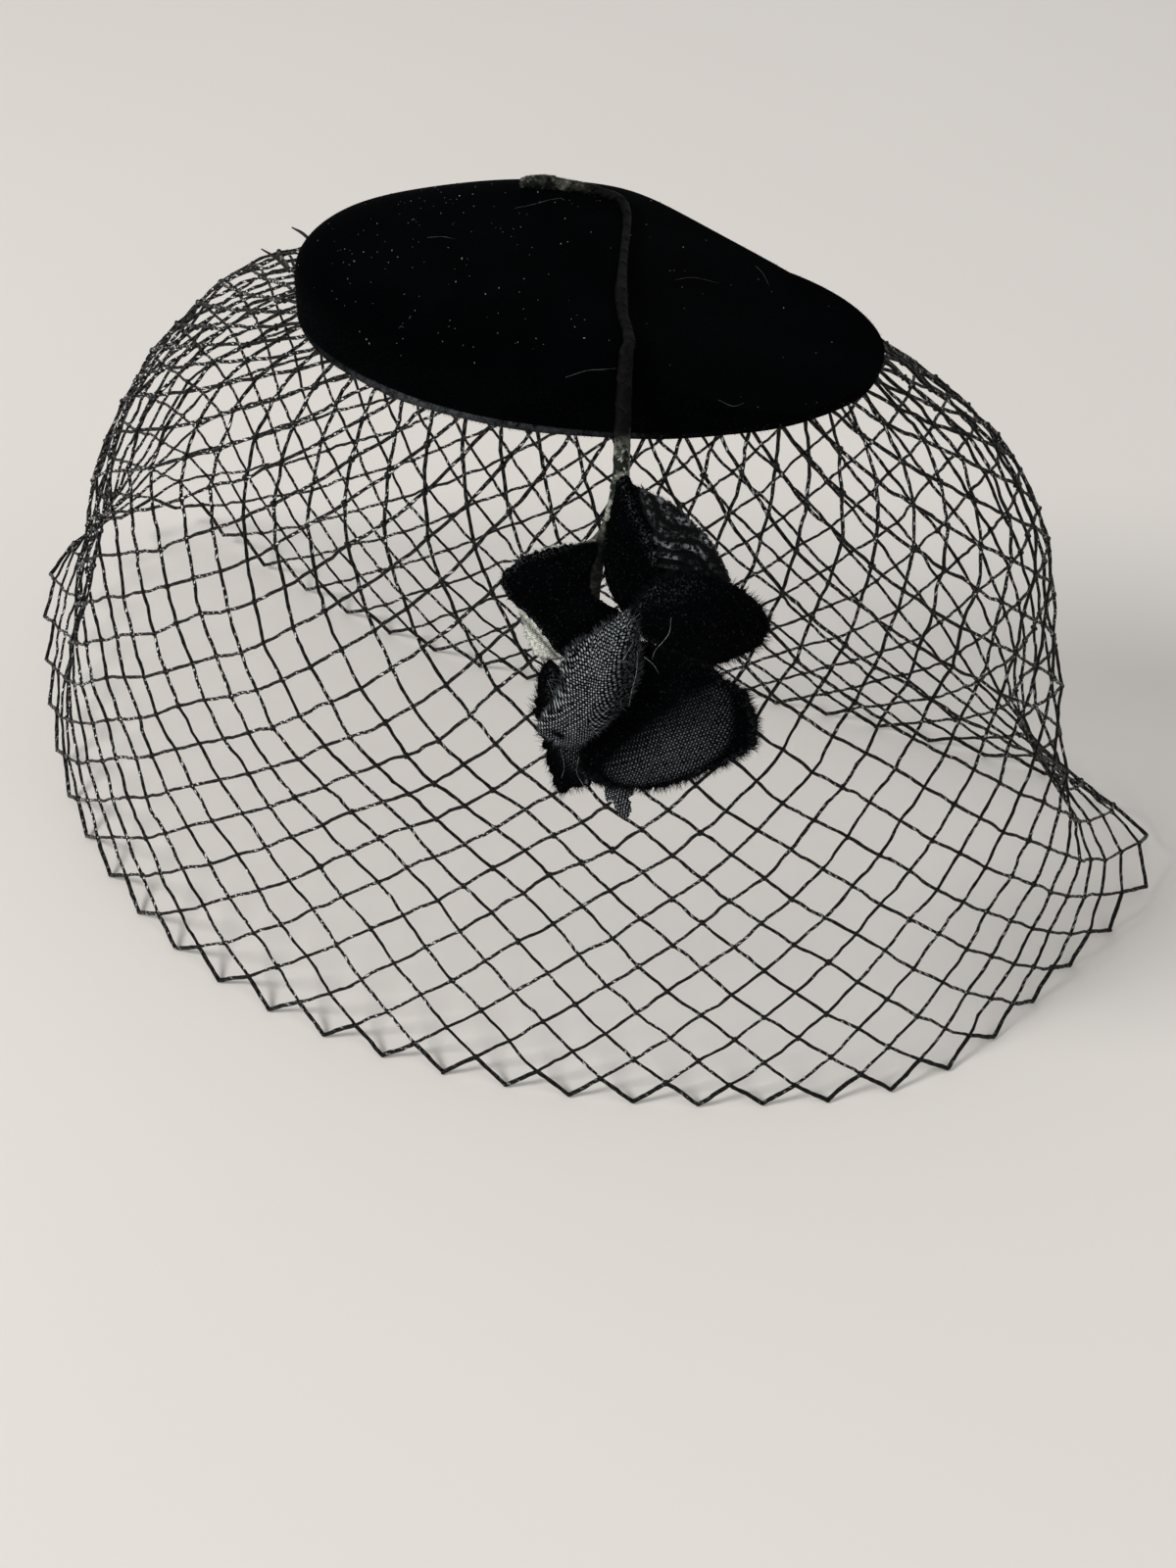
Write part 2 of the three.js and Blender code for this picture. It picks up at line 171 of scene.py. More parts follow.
def bakeNodes(source, tree, name, material, values):
    # runs the tree on the source and keeps the result as a plain mesh
    values = {**values, "Material": material}
    modifier = source.modifiers.new("nodes", "NODES")
    modifier.node_group = tree
    for item in tree.interface.items_tree:
        if item.item_type == "SOCKET" and item.in_out == "INPUT" and item.name in values:
            modifier[item.identifier] = values[item.name]
    source.update_tag()
    evaluated = source.evaluated_get(bpy.context.evaluated_depsgraph_get())
    mesh = bpy.data.meshes.new_from_object(evaluated)
    mesh.name = name
    made = bpy.data.objects.new(name, mesh)
    bpy.context.scene.collection.objects.link(made)
    source.modifiers.remove(modifier)
    return made


def ramp(values, start, over):
    # 0 up to the start, 1 from start + over on; a negative over runs the other way
    return np.clip((values - start) / over, 0, 1)


def bell(values):
    return np.exp(-values ** 2)


def neighbours(count):
    # each number of a closed ring with the next one
    return [(k, (k + 1) % count) for k in range(count)]


def ringFaces(rings, around, start=0):
    faces = []
    for low in range(start, start + (rings - 1) * around, around):
        high = low + around
        faces += [(low + k, low + n, high + n, high + k) for k, n in neighbours(around)]
    return faces


def between(a, b, c, d, t):
    # the Catmull-Rom curve from b to c
    square, cube = 2 * a - 5 * b + 4 * c - d, 3 * b - 3 * c + d - a
    return 0.5 * (2 * b + (c - a) * t + square * t ** 2 + cube * t ** 3)


def evenSteps(line, count, closed):
    # columns after the third, such as a radius, are carried along
    run = np.concatenate([[0], np.cumsum(np.linalg.norm(np.diff(line[:, :3], axis=0), axis=1))])
    even = np.linspace(0, run[-1], count, endpoint=not closed)
    return np.stack([np.interp(even, run, column) for column in line.T], axis=1)


def closedCurve(points, count):
    p = np.asarray(points, dtype=float)
    t = np.linspace(0, len(p), count * 8, endpoint=False)
    k = np.floor(t).astype(int)
    fine = between(*(p[(k + step) % len(p)] for step in (-1, 0, 1, 2)), (t - k)[:, None])
    return evenSteps(np.vstack([fine, fine[:1]]), count, closed=True)


def openCurve(points, count):
    p = np.asarray(points, dtype=float)
    ends = np.vstack([2 * p[0] - p[1], p, 2 * p[-1] - p[-2]])
    t = np.linspace(0, len(p) - 1, count * 6)
    k = np.minimum(np.floor(t).astype(int), len(p) - 2)
    fine = between(*(ends[k + step] for step in range(4)), (t - k)[:, None])
    return evenSteps(fine, count, closed=False)


view = {"place": (88.0, -374.0, 423.0), "down": 44.7, "turn": 13.0, "lens": 47.25, "film": 36.0,
        "nearest": 0.01, "farthest": 20.0}


def makeCamera():
    data = bpy.data.cameras.new("camera")
    data.lens = view["lens"]
    data.sensor_width = view["film"]
    data.clip_start, data.clip_end = view["nearest"], view["farthest"]
    camera = bpy.data.objects.new("camera", data)
    camera.location = Vector(inFrame(view["place"]))
    camera.rotation_euler = (math.radians(90 - view["down"]), 0, math.radians(view["turn"]))
    bpy.context.scene.collection.objects.link(camera)
    bpy.context.scene.camera = camera


room = {
    # each lamp's place in metres, power, size and colour
    "lamps": {
        "window": ((-1.3, -1.0, 1.6), 31.0, 0.7, (1.0, 0.975, 0.945)),
        "fill": ((1.3, -0.6, 1.5), 5.0, 1.6, (0.96, 0.98, 1.0)),
    },
    "lampsFace": (0, 0, 0.1),
    "air": (0.93, 0.92, 0.91, 1), "airStrength": 0.60,
    "tableHalf": 3.0,
}


def makeFloor():
    half = room["tableHalf"]
    corners = [(-half, -half, 0), (half, -half, 0), (half, half, 0), (-half, half, 0)]
    floor = meshObject("table", corners, [(0, 1, 2, 3)], tableTop, smooth=False)


def makeLights():
    target = Vector(room["lampsFace"])
    for name, (place, power, size, colour) in room["lamps"].items():
        data = bpy.data.lights.new(name, "AREA")
        data.shape = "DISK"
        data.energy, data.size, data.color = power, size, colour
        lamp = bpy.data.objects.new(name, data)
        lamp.location = place
        lamp.rotation_euler = (target - Vector(place)).to_track_quat("-Z", "Y").to_euler()
        bpy.context.scene.collection.objects.link(lamp)
    world = bpy.data.worlds.new("room")
    world.use_nodes = True
    air = world.node_tree.nodes["Background"].inputs
    air["Color"].default_value = room["air"]
    air["Strength"].default_value = room["airStrength"]
    bpy.context.scene.world = world
    bpy.context.scene.view_settings.view_transform = "Standard"


def makePileGroup():
    # short velvet pile: a fine grain, and slow swathes where the pile lies another way
    group, given, result = newTree(
        "velvetPile", "ShaderNodeTree",
        {"Vector": "NodeSocketVector", "Grain": 2600.0, "Swathe": 55.0},
        {"Shade": "NodeSocketFloat", "Height": "NodeSocketFloat"})
    fine = noiseOn(group, given["Vector"], given["Grain"], 2.0)
    slow = noiseOn(group, given["Vector"], given["Swathe"], 3.0)
    slowShare = product(group, spread(group, slow, 0.35, 0.7), 0.55)
    shade = calc(group, "MULTIPLY_ADD", spread(group, fine, 0.35, 0.7), 0.45, slowShare)
    group.links.new(shade, result["Shade"])
    group.links.new(fine, result["Height"])
    return group


def makeWeaveGroup():
    # plain weave on a flat vector in millimetres: over and under threads in both directions
    group, given, result = newTree(
        "plainWeave", "ShaderNodeTree",
        {"Vector": "NodeSocketVector", "Pitch": 0.6, "Wander": 0.25},
        {"Thread": "NodeSocketFloat", "Height": "NodeSocketFloat"})
    wander = vectorCalc(group, "SCALE", noiseOn(group, given["Vector"], 0.35, 2.0, "Color"), given["Wander"])
    moved = vectorCalc(group, "ADD", given["Vector"], wander)
    parts = nodeIn(group, "ShaderNodeSeparateXYZ", {0: moved}).outputs
    turns = calc(group, "DIVIDE", math.pi, given["Pitch"])
    across = calc(group, "SINE", product(group, parts["X"], turns))
    down = calc(group, "SINE", product(group, parts["Y"], turns))
    acrossRound = calc(group, "ABSOLUTE", across)
    downRound = calc(group, "ABSOLUTE", down)
    over = spread(group, product(group, across, down), -0.25, 0.25)          # which thread is on top
    warp = product(group, acrossRound, over)
    weft = product(group, downRound, calc(group, "SUBTRACT", 1.0, over))
    height = calc(group, "MULTIPLY_ADD", product(group, acrossRound, downRound), 0.8,
                  product(group, calc(group, "ADD", warp, weft), 0.35))
    speckle = spread(group, noiseOn(group, moved, 2.1, 2.0), 0.3, 0.65, 0.35, 1.0)
    lit = product(group, height, speckle, height, calc(group, "MULTIPLY_ADD", over, 0.6, 0.5))
    group.links.new(lit, result["Thread"])
    group.links.new(height, result["Height"])
    return group


pileGroup = makePileGroup()
weaveGroup = makeWeaveGroup()


def pileOn(tree, grain=2600.0, swathe=55.0):
    values = {"Vector": objectPlace(tree), "Grain": grain, "Swathe": swathe}
    return nodeIn(tree, "ShaderNodeGroup", values, node_tree=pileGroup).outputs


def weaveOn(tree, pitch, wander):
    values = {"Vector": clothPlace(tree), "Pitch": pitch, "Wander": wander}
    return nodeIn(tree, "ShaderNodeGroup", values, node_tree=weaveGroup).outputs


def makeMaterial(name, paint, roughness, specular, bump=None, sheen=()):
    # paint builds the nodes and gives colour and height; bump is strength and depth in metres,
    # and sheen is weight, roughness and tint
    material = bpy.data.materials.new(name)
    material.use_nodes = True
    tree = material.node_tree
    surface = tree.nodes["Principled BSDF"].inputs
    titles = ("Roughness", "Specular IOR Level", "Sheen Weight", "Sheen Roughness", "Sheen Tint")
    for title, value in zip(titles, (roughness, specular, *sheen)):
        surface[title].default_value = value
    colour, height = paint(tree)
    tree.links.new(colour, surface["Base Color"])
    if bump:
        raised = nodeIn(tree, "ShaderNodeBump", {"Strength": bump[0], "Distance": bump[1], "Height": height})
        tree.links.new(raised.outputs["Normal"], surface["Normal"])
    return material


def paintTable(tree):
    mottle = noiseOn(tree, objectPlace(tree), 3.0, 3.0)
    return blendColour(tree, mottle, (0.70, 0.672, 0.640), (0.735, 0.712, 0.683)), None


def paintVelvet(tree):
    pile = pileOn(tree)
    colour = blendColour(tree, pile["Shade"], (0.0001, 0.0002, 0.0004), (0.0008, 0.0011, 0.0014))
    return colour, pile["Height"]


def paintTurnedEdge(tree):
    # the same velvet, lighter grey where the attribute turned says so
    pile = pileOn(tree, 1500.0, 500.0)
    lit = product(tree, pile["Shade"], attributeOf(tree, "turned"))
    return blendColour(tree, lit, (0.0004, 0.0005, 0.0007), (0.060, 0.066, 0.072)), pile["Height"]


def paintPetal(tree):
    # black pile, or its woven back where the attribute woven says so
    pile = pileOn(tree, swathe=160.0)
    weave = weaveOn(tree, 0.57, 0.5)
    woven = attributeOf(tree, "woven")
    flecks = noiseOn(tree, objectPlace(tree), 2400.0, 2.0)
    worn = product(tree, attributeOf(tree, "worn"), spread(tree, flecks, 0.5, 0.68))
    stray = spread(tree, flecks, 0.60, 0.74, 0.0, 0.09)      # painted highlights on single hairs of the pile
    black = blendColour(tree, pile["Shade"], (0.0001, 0.0002, 0.0004), (0.0009, 0.0011, 0.0015))
    black = blendColour(tree, calc(tree, "MAXIMUM", worn, stray), black, (0.13, 0.145, 0.155))
    thread = spread(tree, weave["Thread"], 0.10, 0.85)
    grey = blendColour(tree, thread, (0.0006, 0.0009, 0.0013), (0.350, 0.385, 0.415))
    height = nodeIn(tree, "ShaderNodeMix", {0: woven, 2: pile["Height"], 3: weave["Height"]})
    return blendColour(tree, woven, black, grey), height.outputs[0]


# painted highlights on the crests of the creases, where the petal's marks attribute says so, broken into
# grains and patches
def paintCrushed(tree):
    weave = weaveOn(tree, 0.42, 1.2)
    pile = pileOn(tree, swathe=420.0)
    shineGrain = noiseOn(tree, objectPlace(tree), 1150.0, 3.0)
    shinePatches = noiseOn(tree, objectPlace(tree), 260.0, 3.0)
    shade = calc(tree, "MULTIPLY_ADD", pile["Shade"], 0.6, 0.4)
    lit = product(tree, attributeOf(tree, "worn"), spread(tree, shineGrain, 0.45, 0.66),
                  spread(tree, shinePatches, 0.38, 0.60, 0.08, 1.0), shade)
    return blendColour(tree, lit, (0.0008, 0.0010, 0.0013), (0.42, 0.46, 0.50)), weave["Height"]


def paintThread(tree, dark, glint, glintShare):
    # two-ply thread: its twist comes from the attributes along (mm) and roundWay; its glint colour is painted
    # highlight
    twistLength = 2.5
    turn = product(tree, attributeOf(tree, "along"), 2 * math.pi / twistLength)
    way = nodeIn(tree, "ShaderNodeSeparateXYZ", {0: attributeOf(tree, "roundWay", "Vector")}).outputs
    x, y = way["X"], way["Y"]
    double = calc(tree, "SUBTRACT", product(tree, x, x), product(tree, y, y))
    cross = product(tree, x, y, 2.0)
    ply = calc(tree, "MULTIPLY_ADD", calc(tree, "COSINE", turn), double,
               product(tree, calc(tree, "SINE", turn), cross))
    grain = noiseOn(tree, objectPlace(tree), 1500.0, 1.0)
    patch = noiseOn(tree, objectPlace(tree), 90.0, 1.0)
    place = nodeIn(tree, "ShaderNodeSeparateXYZ", {0: objectPlace(tree)}).outputs
    # more painted highlight on the left, where the key light falls
    side = spread(tree, place["X"], -0.12, 0.10, 1.0, 0.42)
    lit = product(tree, spread(tree, grain, 0.55, 0.61), spread(tree, patch, 0.44, 0.52),
                  spread(tree, ply, -0.2, 0.5), product(tree, side, glintShare))
    return blendColour(tree, lit, dark, glint), calc(tree, "MULTIPLY_ADD", grain, 0.5, ply)


def paintStemTape(tree):
    # green tape where the attribute hanging says so; black over the crown, and black as painted shade where
    # the stem hangs under the petals
    place = objectPlace(tree)
    ridge = attributeOf(tree, "ridge")
    streak = noiseOn(tree, place, 900.0, 3.0)
    wrinkle = noiseOn(tree, place, 620.0, 5.0, distortion=1.4)
    mottle = spread(tree, noiseOn(tree, place, 260.0, 3.0), 0.42, 0.62)
    pale = calc(tree, "MULTIPLY_ADD", spread(tree, streak, 0.44, 0.64), 0.6, product(tree, ridge, 0.5))
    pale = product(tree, pale, mottle)
    green = blendColour(tree, mottle, (0.011, 0.015, 0.011), (0.095, 0.104, 0.080))
    green = blendColour(tree, pale, green, (0.36, 0.37, 0.32))
    # painted shade in the creases of the wrinkles, and painted highlights on their crests
    green = blendColour(tree, spread(tree, wrinkle, 0.34, 0.47, 0.85, 0.0), green, (0.008, 0.011, 0.008))
    green = blendColour(tree, spread(tree, wrinkle, 0.57, 0.69, 0.0, 0.65), green, (0.66, 0.68, 0.62))
    black = blendColour(tree, pale, (0.0005, 0.0005, 0.0006), (0.0048, 0.0042, 0.0040))
    height = calc(tree, "MULTIPLY_ADD", wrinkle, 0.8, calc(tree, "MULTIPLY_ADD", streak, 0.6, ridge))
    return blendColour(tree, attributeOf(tree, "hanging"), black, green), height


def paintLeaf(tree):
    # pale cloth, painted lighter on the crests of its crinkles as highlights, with a dark vein where the
    # petal's marks attribute says so
    weave = weaveOn(tree, 0.4, 1.0)
    crinkle = noiseOn(tree, clothPlace(tree), 1.3, 4.0)
    pale = blendColour(tree, spread(tree, crinkle, 0.40, 0.58), (0.46, 0.48, 0.40), (0.95, 0.95, 0.89))
    colour = blendColour(tree, attributeOf(tree, "worn"), pale, (0.030, 0.062, 0.038))
    return colour, calc(tree, "MULTIPLY_ADD", weave["Height"], 0.3, crinkle)


def makeThread(name, dark, glint, glintShare):
    paint = lambda tree: paintThread(tree, dark, glint, glintShare)
    return makeMaterial(name, paint, 0.38, 0.16, (0.8, 0.0003))


def makePlain(name, low, high, roughness, specular, scale):
    def paint(tree):
        grain = noiseOn(tree, objectPlace(tree), scale, 3.0)
        return blendColour(tree, spread(tree, grain, 0.35, 0.65), low, high), grain

    return makeMaterial(name, paint, roughness, specular, (0.2, 0.0002))


coolTint = (0.62, 0.70, 0.78, 1)
paleTint = (0.7, 0.78, 0.85, 1)
tableTop = makeMaterial("table", paintTable, 0.62, 0.25)
velvet = makeMaterial("velvet", paintVelvet, 0.9, 0.008, (0.5, 0.0003), (0.007, 0.38, coolTint))
turnedEdge = makeMaterial("turnedEdge", paintTurnedEdge, 0.9, 0.02, (0.6, 0.0004))
petalCloth = makeMaterial("petalCloth", paintPetal, 0.85, 0.01, (0.75, 0.0003), (0.004, 0.4, coolTint))
crushedCloth = makeMaterial("crushedCloth", paintCrushed, 0.7, 0.1, (0.8, 0.0004), (0.005, 0.35, paleTint))
stemTape = makeMaterial("stemTape", paintStemTape, 0.65, 0.06, (0.8, 0.0005))
leafCloth = makeMaterial("leafCloth", paintLeaf, 0.6, 0.4, (0.9, 0.0006), (0.1,))
# the second colour of each thread is its painted highlight
netThread = makeThread("netThread", (0.0008, 0.0011, 0.0012), (0.95, 0.97, 0.97), 1.0)
hemThread = makeThread("hemThread", (0.0008, 0.0012, 0.0011), (0.60, 0.64, 0.64), 0.6)
knotThread = makePlain("knotThread", (0.0006, 0.0008, 0.0009), (0.007, 0.008, 0.008), 0.5, 0.2, 1800.0)
pileFibre = makePlain("pileFibre", (0.0004, 0.0005, 0.0007), (0.005, 0.006, 0.007), 0.8, 0.05, 900.0)
frayFibre = makePlain("frayFibre", (0.006, 0.007, 0.008), (0.075, 0.083, 0.09), 0.7, 0.15, 700.0)
lintFibre = makePlain("lintFibre", (0.09, 0.095, 0.10), (0.27, 0.28, 0.28), 0.6, 0.2, 900.0)
hatFibre = makePlain("hatFibre", (0.045, 0.048, 0.052), (0.13, 0.135, 0.14), 0.7, 0.1, 900.0)
combPlastic = makePlain("combPlastic", (0.010, 0.010, 0.011), (0.016, 0.016, 0.017), 0.35, 0.5, 200.0)
print("materials made")


def geometryTree(name, inputs):
    shape = {"Geometry": "NodeSocketGeometry"}
    return newTree(name, "GeometryNodeTree", {**shape, **inputs, "Material": "NodeSocketMaterial"}, shape)


def namedIn(tree, name, dataType="FLOAT"):
    named = nodeIn(tree, "GeometryNodeInputNamedAttribute", {"Name": name}, data_type=dataType)
    return named.outputs["Attribute"]


def storeIn(tree, geometry, name, value, dataType):
    values = {"Geometry": geometry, "Name": name, "Value": value}
    return nodeIn(tree, "GeometryNodeStoreNamedAttribute", values, data_type=dataType).outputs[0]


def randomNumber(tree, low, high, seed):
    values = {2: low, 3: high, "Seed": seed}
    return nodeIn(tree, "FunctionNodeRandomValue", values, data_type="FLOAT").outputs[1]


def randomVector(tree, low, high, seed):
    values = {0: (low, low, low), 1: (high, high, high), "Seed": seed}
    return nodeIn(tree, "FunctionNodeRandomValue", values, data_type="FLOAT_VECTOR").outputs[0]


def combine(tree, x, y, z):
    return nodeIn(tree, "ShaderNodeCombineXYZ", {"X": x, "Y": y, "Z": z}).outputs[0]


def scatterOn(tree, given, name):
    # points on the mesh, dense where the named attribute is high
    values = {"Mesh": given["Geometry"], "Density": product(tree, namedIn(tree, name), given["Density"]),
              "Seed": given["Seed"]}
    return nodeIn(tree, "GeometryNodeDistributePointsOnFaces", values).outputs["Points"]


def placeOn(tree, points, shape, turned, scale):
    values = {"Points": points, "Instance": shape, "Rotation": turned, "Scale": scale}
    return nodeIn(tree, "GeometryNodeInstanceOnPoints", values).outputs[0]


def endTree(tree, given, result, geometry, smooth):
    geometry = nodeIn(tree, "GeometryNodeRealizeInstances", {0: geometry}).outputs[0]
    if smooth:
        geometry = nodeIn(tree, "GeometryNodeSetShadeSmooth", {"Geometry": geometry}).outputs[0]
    painted = nodeIn(tree, "GeometryNodeSetMaterial", {"Geometry": geometry, "Material": given["Material"]})
    tree.links.new(painted.outputs[0], result[0])
    return tree


def makeFibreTree():
    # short tapered fibres that point along the attribute outwards
    tree, given, result = geometryTree("shortFibres", {
        "Density": 100000.0, "Length": 0.001, "Radius": 0.00004, "Scatter": 0.6, "Seed": 1})
    stray = vectorCalc(tree, "SCALE", randomVector(tree, -1, 1, given["Seed"]), given["Scatter"])
    way = vectorCalc(tree, "ADD", namedIn(tree, "outwards", "FLOAT_VECTOR"), stray)
    turned = nodeIn(tree, "FunctionNodeAlignRotationToVector", {"Vector": way}, axis="Z").outputs[0]
    cone = {"Vertices": 3, "Radius Top": 0.0, "Radius Bottom": given["Radius"], "Depth": given["Length"]}
    fibre = nodeIn(tree, "GeometryNodeMeshCone", cone, fill_type="NONE").outputs["Mesh"]
    scale = combine(tree, 1.0, 1.0, randomNumber(tree, 0.35, 1.0, given["Seed"]))
    placed = placeOn(tree, scatterOn(tree, given, "fuzz"), fibre, turned, scale)
    return endTree(tree, given, result, placed, smooth=False)


def makeSpeckTree():
    # specks of lint, most of them small
    tree, given, result = geometryTree("lintSpecks", {
        "Density": 10000.0, "Smallest": 0.00005, "Largest": 0.00016, "Seed": 3})
    speck = nodeIn(tree, "GeometryNodeMeshIcoSphere", {"Radius": 1.0, "Subdivisions": 1}).outputs["Mesh"]
    rare = calc(tree, "POWER", randomNumber(tree, 0.0, 1.0, given["Seed"]), 4.0)
    size = nodeIn(tree, "ShaderNodeMapRange", {0: rare, 3: given["Smallest"], 4: given["Largest"]}).outputs[0]
    scale = combine(tree, product(tree, size, 2.2), size, size)
    turned = randomVector(tree, 0, 3.1, given["Seed"])
    placed = placeOn(tree, scatterOn(tree, given, "lint"), speck, turned, scale)
    return endTree(tree, given, result, placed, smooth=False)


def makeThreadTree():
    # every edge of the mesh becomes a slightly wandering round thread
    tree, given, result = geometryTree("threads", {
        "Radius": 0.0005, "Steps": 7, "Sides": 6, "Wander": 0.0006, "Uneven": 0.25})
    lines = nodeIn(tree, "GeometryNodeMeshToCurve", {"Mesh": given["Geometry"]}).outputs[0]
    stepped = nodeIn(tree, "GeometryNodeResampleCurve", {"Curve": lines, "Count": given["Steps"]}).outputs[0]
    place = nodeIn(tree, "GeometryNodeInputPosition").outputs[0]
    along = nodeIn(tree, "GeometryNodeSplineParameter").outputs
    bow = calc(tree, "SINE", product(tree, along["Factor"], math.pi))        # the knots stay in place
    stray = vectorCalc(tree, "SUBTRACT", noiseOn(tree, place, 130.0, 2.0, "Color"), (0.5, 0.5, 0.5))
    offset = vectorCalc(tree, "SCALE", stray, product(tree, bow, product(tree, given["Wander"], 4.0)))
    moved = nodeIn(tree, "GeometryNodeSetPosition", {"Geometry": stepped, "Offset": offset}).outputs[0]
    marked = storeIn(tree, moved, "along", product(tree, along["Length"], 1000.0), "FLOAT")
    ring = nodeIn(tree, "GeometryNodeCurvePrimitiveCircle", {"Resolution": given["Sides"], "Radius": 1.0})
    ringMarked = storeIn(tree, ring.outputs[0], "roundWay", place, "FLOAT_VECTOR")
    lump = calc(tree, "SUBTRACT", noiseOn(tree, place, 700.0, 1.0), 0.5)
    share = calc(tree, "MULTIPLY_ADD", lump, product(tree, given["Uneven"], 2.0), 1.0)
    tube = nodeIn(tree, "GeometryNodeCurveToMesh", {
        "Curve": marked, "Profile Curve": ringMarked, "Scale": product(tree, share, given["Radius"]),
        "Fill Caps": False}).outputs[0]
    return endTree(tree, given, result, tube, smooth=True)


def makeKnotTree():
    # a small flattened lump of thread on every vertex
    tree, given, result = geometryTree("knots", {"Radius": 0.0008, "Seed": 5})
    lump = nodeIn(tree, "GeometryNodeMeshIcoSphere", {"Radius": 1.0, "Subdivisions": 2}).outputs["Mesh"]
    wide = product(tree, randomNumber(tree, 0.8, 1.15, given["Seed"]), given["Radius"])
    scale = combine(tree, product(tree, wide, 1.2), wide, product(tree, wide, 0.75))
    placed = placeOn(tree, given["Geometry"], lump, randomVector(tree, 0, 3.1, given["Seed"]), scale)
    return endTree(tree, given, result, placed, smooth=True)


fibreTree = makeFibreTree()
speckTree = makeSpeckTree()
threadTree = makeThreadTree()
knotTree = makeKnotTree()


def crownRise(out):
    # 1 in the middle of the crown to 0 at its edge
    return np.maximum(1 - out ** hat["boxiness"], 0) ** (1 / hat["boxiness"])


def crownZ(x, y, rise, depth=0.0):
    # the lower of a boxy dome and a falling front, softly joined; the inner skin lies a depth lower
    dome = hat["edgeHeight"] + hat["band"] - depth * 0.4 + (hat["crown"] - depth * 0.6) * rise
    past = x - (hat["creaseX"] + hat["creaseLean"] * y)
    falling = hat["fallTop"] - depth - hat["fall"] * (1 - np.exp(-np.maximum(past, -12) / hat["fallLength"]))
    soft = hat["foldRadius"]
    return -soft * np.log(np.exp(-dome / soft) + np.exp(-falling / soft))


def crownAt(x, y):
    out = np.hypot((x - hat["middleX"]) / hat["halfLength"], (y - hat["middleY"]) / hat["halfWidth"])
    return crownZ(x, y, crownRise(out))


def makeHat():
    around, rings = hat["around"], hat["rings"]
    angle = np.linspace(0, 2 * np.pi, around, endpoint=False)
    ripple = 0.25 * np.sin(3 * angle + 0.6) + 0.15 * np.sin(7 * angle + 2.0)    # a hand-cut edge

    def loop(inset, scale, height):
        x = hat["middleX"] + (hat["halfLength"] - inset + ripple) * scale * np.cos(angle)
        y = hat["middleY"] + (hat["halfWidth"] - inset + ripple) * scale * np.sin(angle)
        return np.stack([x, y, height(x, y)], axis=1)

    def skin(inset, depth):
        loops = []
        lowest = hat["edgeHeight"] + hat["lowestSkin"] - depth * 0.3
        for t in np.linspace(0.02, 1, rings):
            out = 1 - (1 - t) ** 2
            rise = crownRise(out)
            uneven = lambda x, y: hat["unevenness"] * np.sin(x / 9.0 + 0.7) * np.sin(y / 7.0) * rise
            height = lambda x, y: np.maximum(crownZ(x, y, rise, depth) + uneven(x, y), lowest)
            loops.append(loop(inset, out, height))
        return loops

    outer = skin(0.0, 0.0)
    under = [loop(inset, 1.0, lambda x, y: hat["edgeHeight"] + up + 0 * x) for inset, up in hat["underEdge"]]
    inner = skin(hat["wall"], hat["wall"])[::-1]
    loops = outer + under + inner
    points = np.vstack([*loops, outer[0].mean(axis=0), inner[-1].mean(axis=0)])
    last = (len(loops) - 1) * around
    top, roof = len(points) - 2, len(points) - 1
    faces = ringFaces(len(loops), around)
    for k, n in neighbours(around):
        faces += [(top, n, k), (roof, last + k, last + n)]
    piece = meshObject("hat_velvet", inFrame(points), [face[::-1] for face in faces], velvet)

    order = np.arange(len(points)) // around
    rim = (order >= rings - 3) & (order < rings + 5)
    outwards = points - (hat["middleX"], hat["middleY"], hat["edgeHeight"] - 6)
    addFloat(piece, "fuzz", rim)
    lint = np.maximum(ramp(points[:, 0], 20, -40), 0.25)      # more lint before the crease
    addFloat(piece, "lint", np.where(order < rings - 2, lint, 0.0))
    addVector(piece, "outwards", outwards / np.linalg.norm(outwards, axis=1)[:, None])
    return piece


binding = {
    "inset": 0.9, "radius": 0.95, "below": 0.35, "around": 220, "sides": 10,
    # the stretch that is turned outwards: its angle, its reach, how far out and down it goes
    "turned": 4.35, "reach": 0.5, "outer": 0.45, "lower": 0.3,
}


def makeRimBinding():
    # the turned edge that shows under the band
    around, sides = binding["around"], binding["sides"]
    points, fuzz, outwards, grey = [], [], [], []
    for angle in np.linspace(0, 2 * np.pi, around, endpoint=False):
        swell = 1 + 0.18 * np.sin(9 * angle + 1.0) * np.sin(5 * angle)
        turned = bell((angle - binding["turned"]) / binding["reach"])
        normal = np.array([math.cos(angle) / hat["halfLength"], math.sin(angle) / hat["halfWidth"], 0])
        normal /= np.linalg.norm(normal)
        inset = binding["inset"] - binding["outer"] * turned
        centre = np.array([
            hat["middleX"] + (hat["halfLength"] - inset) * math.cos(angle),
            hat["middleY"] + (hat["halfWidth"] - inset) * math.sin(angle),
            hat["edgeHeight"] - binding["below"] - binding["lower"] * turned,
        ])
        for s in range(sides):
            turn = 2 * math.pi * s / sides
            way = normal * math.cos(turn) + np.array([0, 0, 1]) * math.sin(turn)
            points.append(centre + way * binding["radius"] * swell)
            outwards.append(way)
            fuzz.append((0.15 + 0.85 * turned) if math.cos(turn) > -0.3 else 0.0)
            grey.append(turned)
    faces = [(k * sides + s, n * sides + s, n * sides + m, k * sides + m)
             for k, n in neighbours(around) for s, m in neighbours(sides)]
    piece = meshObject("rim_binding", inFrame(points), faces, turnedEdge)
    addFloat(piece, "fuzz", fuzz)
    addFloat(piece, "turned", grey)
    addVector(piece, "outwards", outwards)
    return piece


rimFuzz = {"Density": 4.2e6, "Length": 0.8 * mm, "Radius": 0.035 * mm, "Scatter": 0.75, "Seed": 4}
bindingFuzz = {"Density": 3.6e6, "Length": 1.0 * mm, "Radius": 0.04 * mm, "Scatter": 0.8, "Seed": 9}
specks = {"Density": 42000.0, "Smallest": 0.06 * mm, "Largest": 0.15 * mm, "Seed": 12}

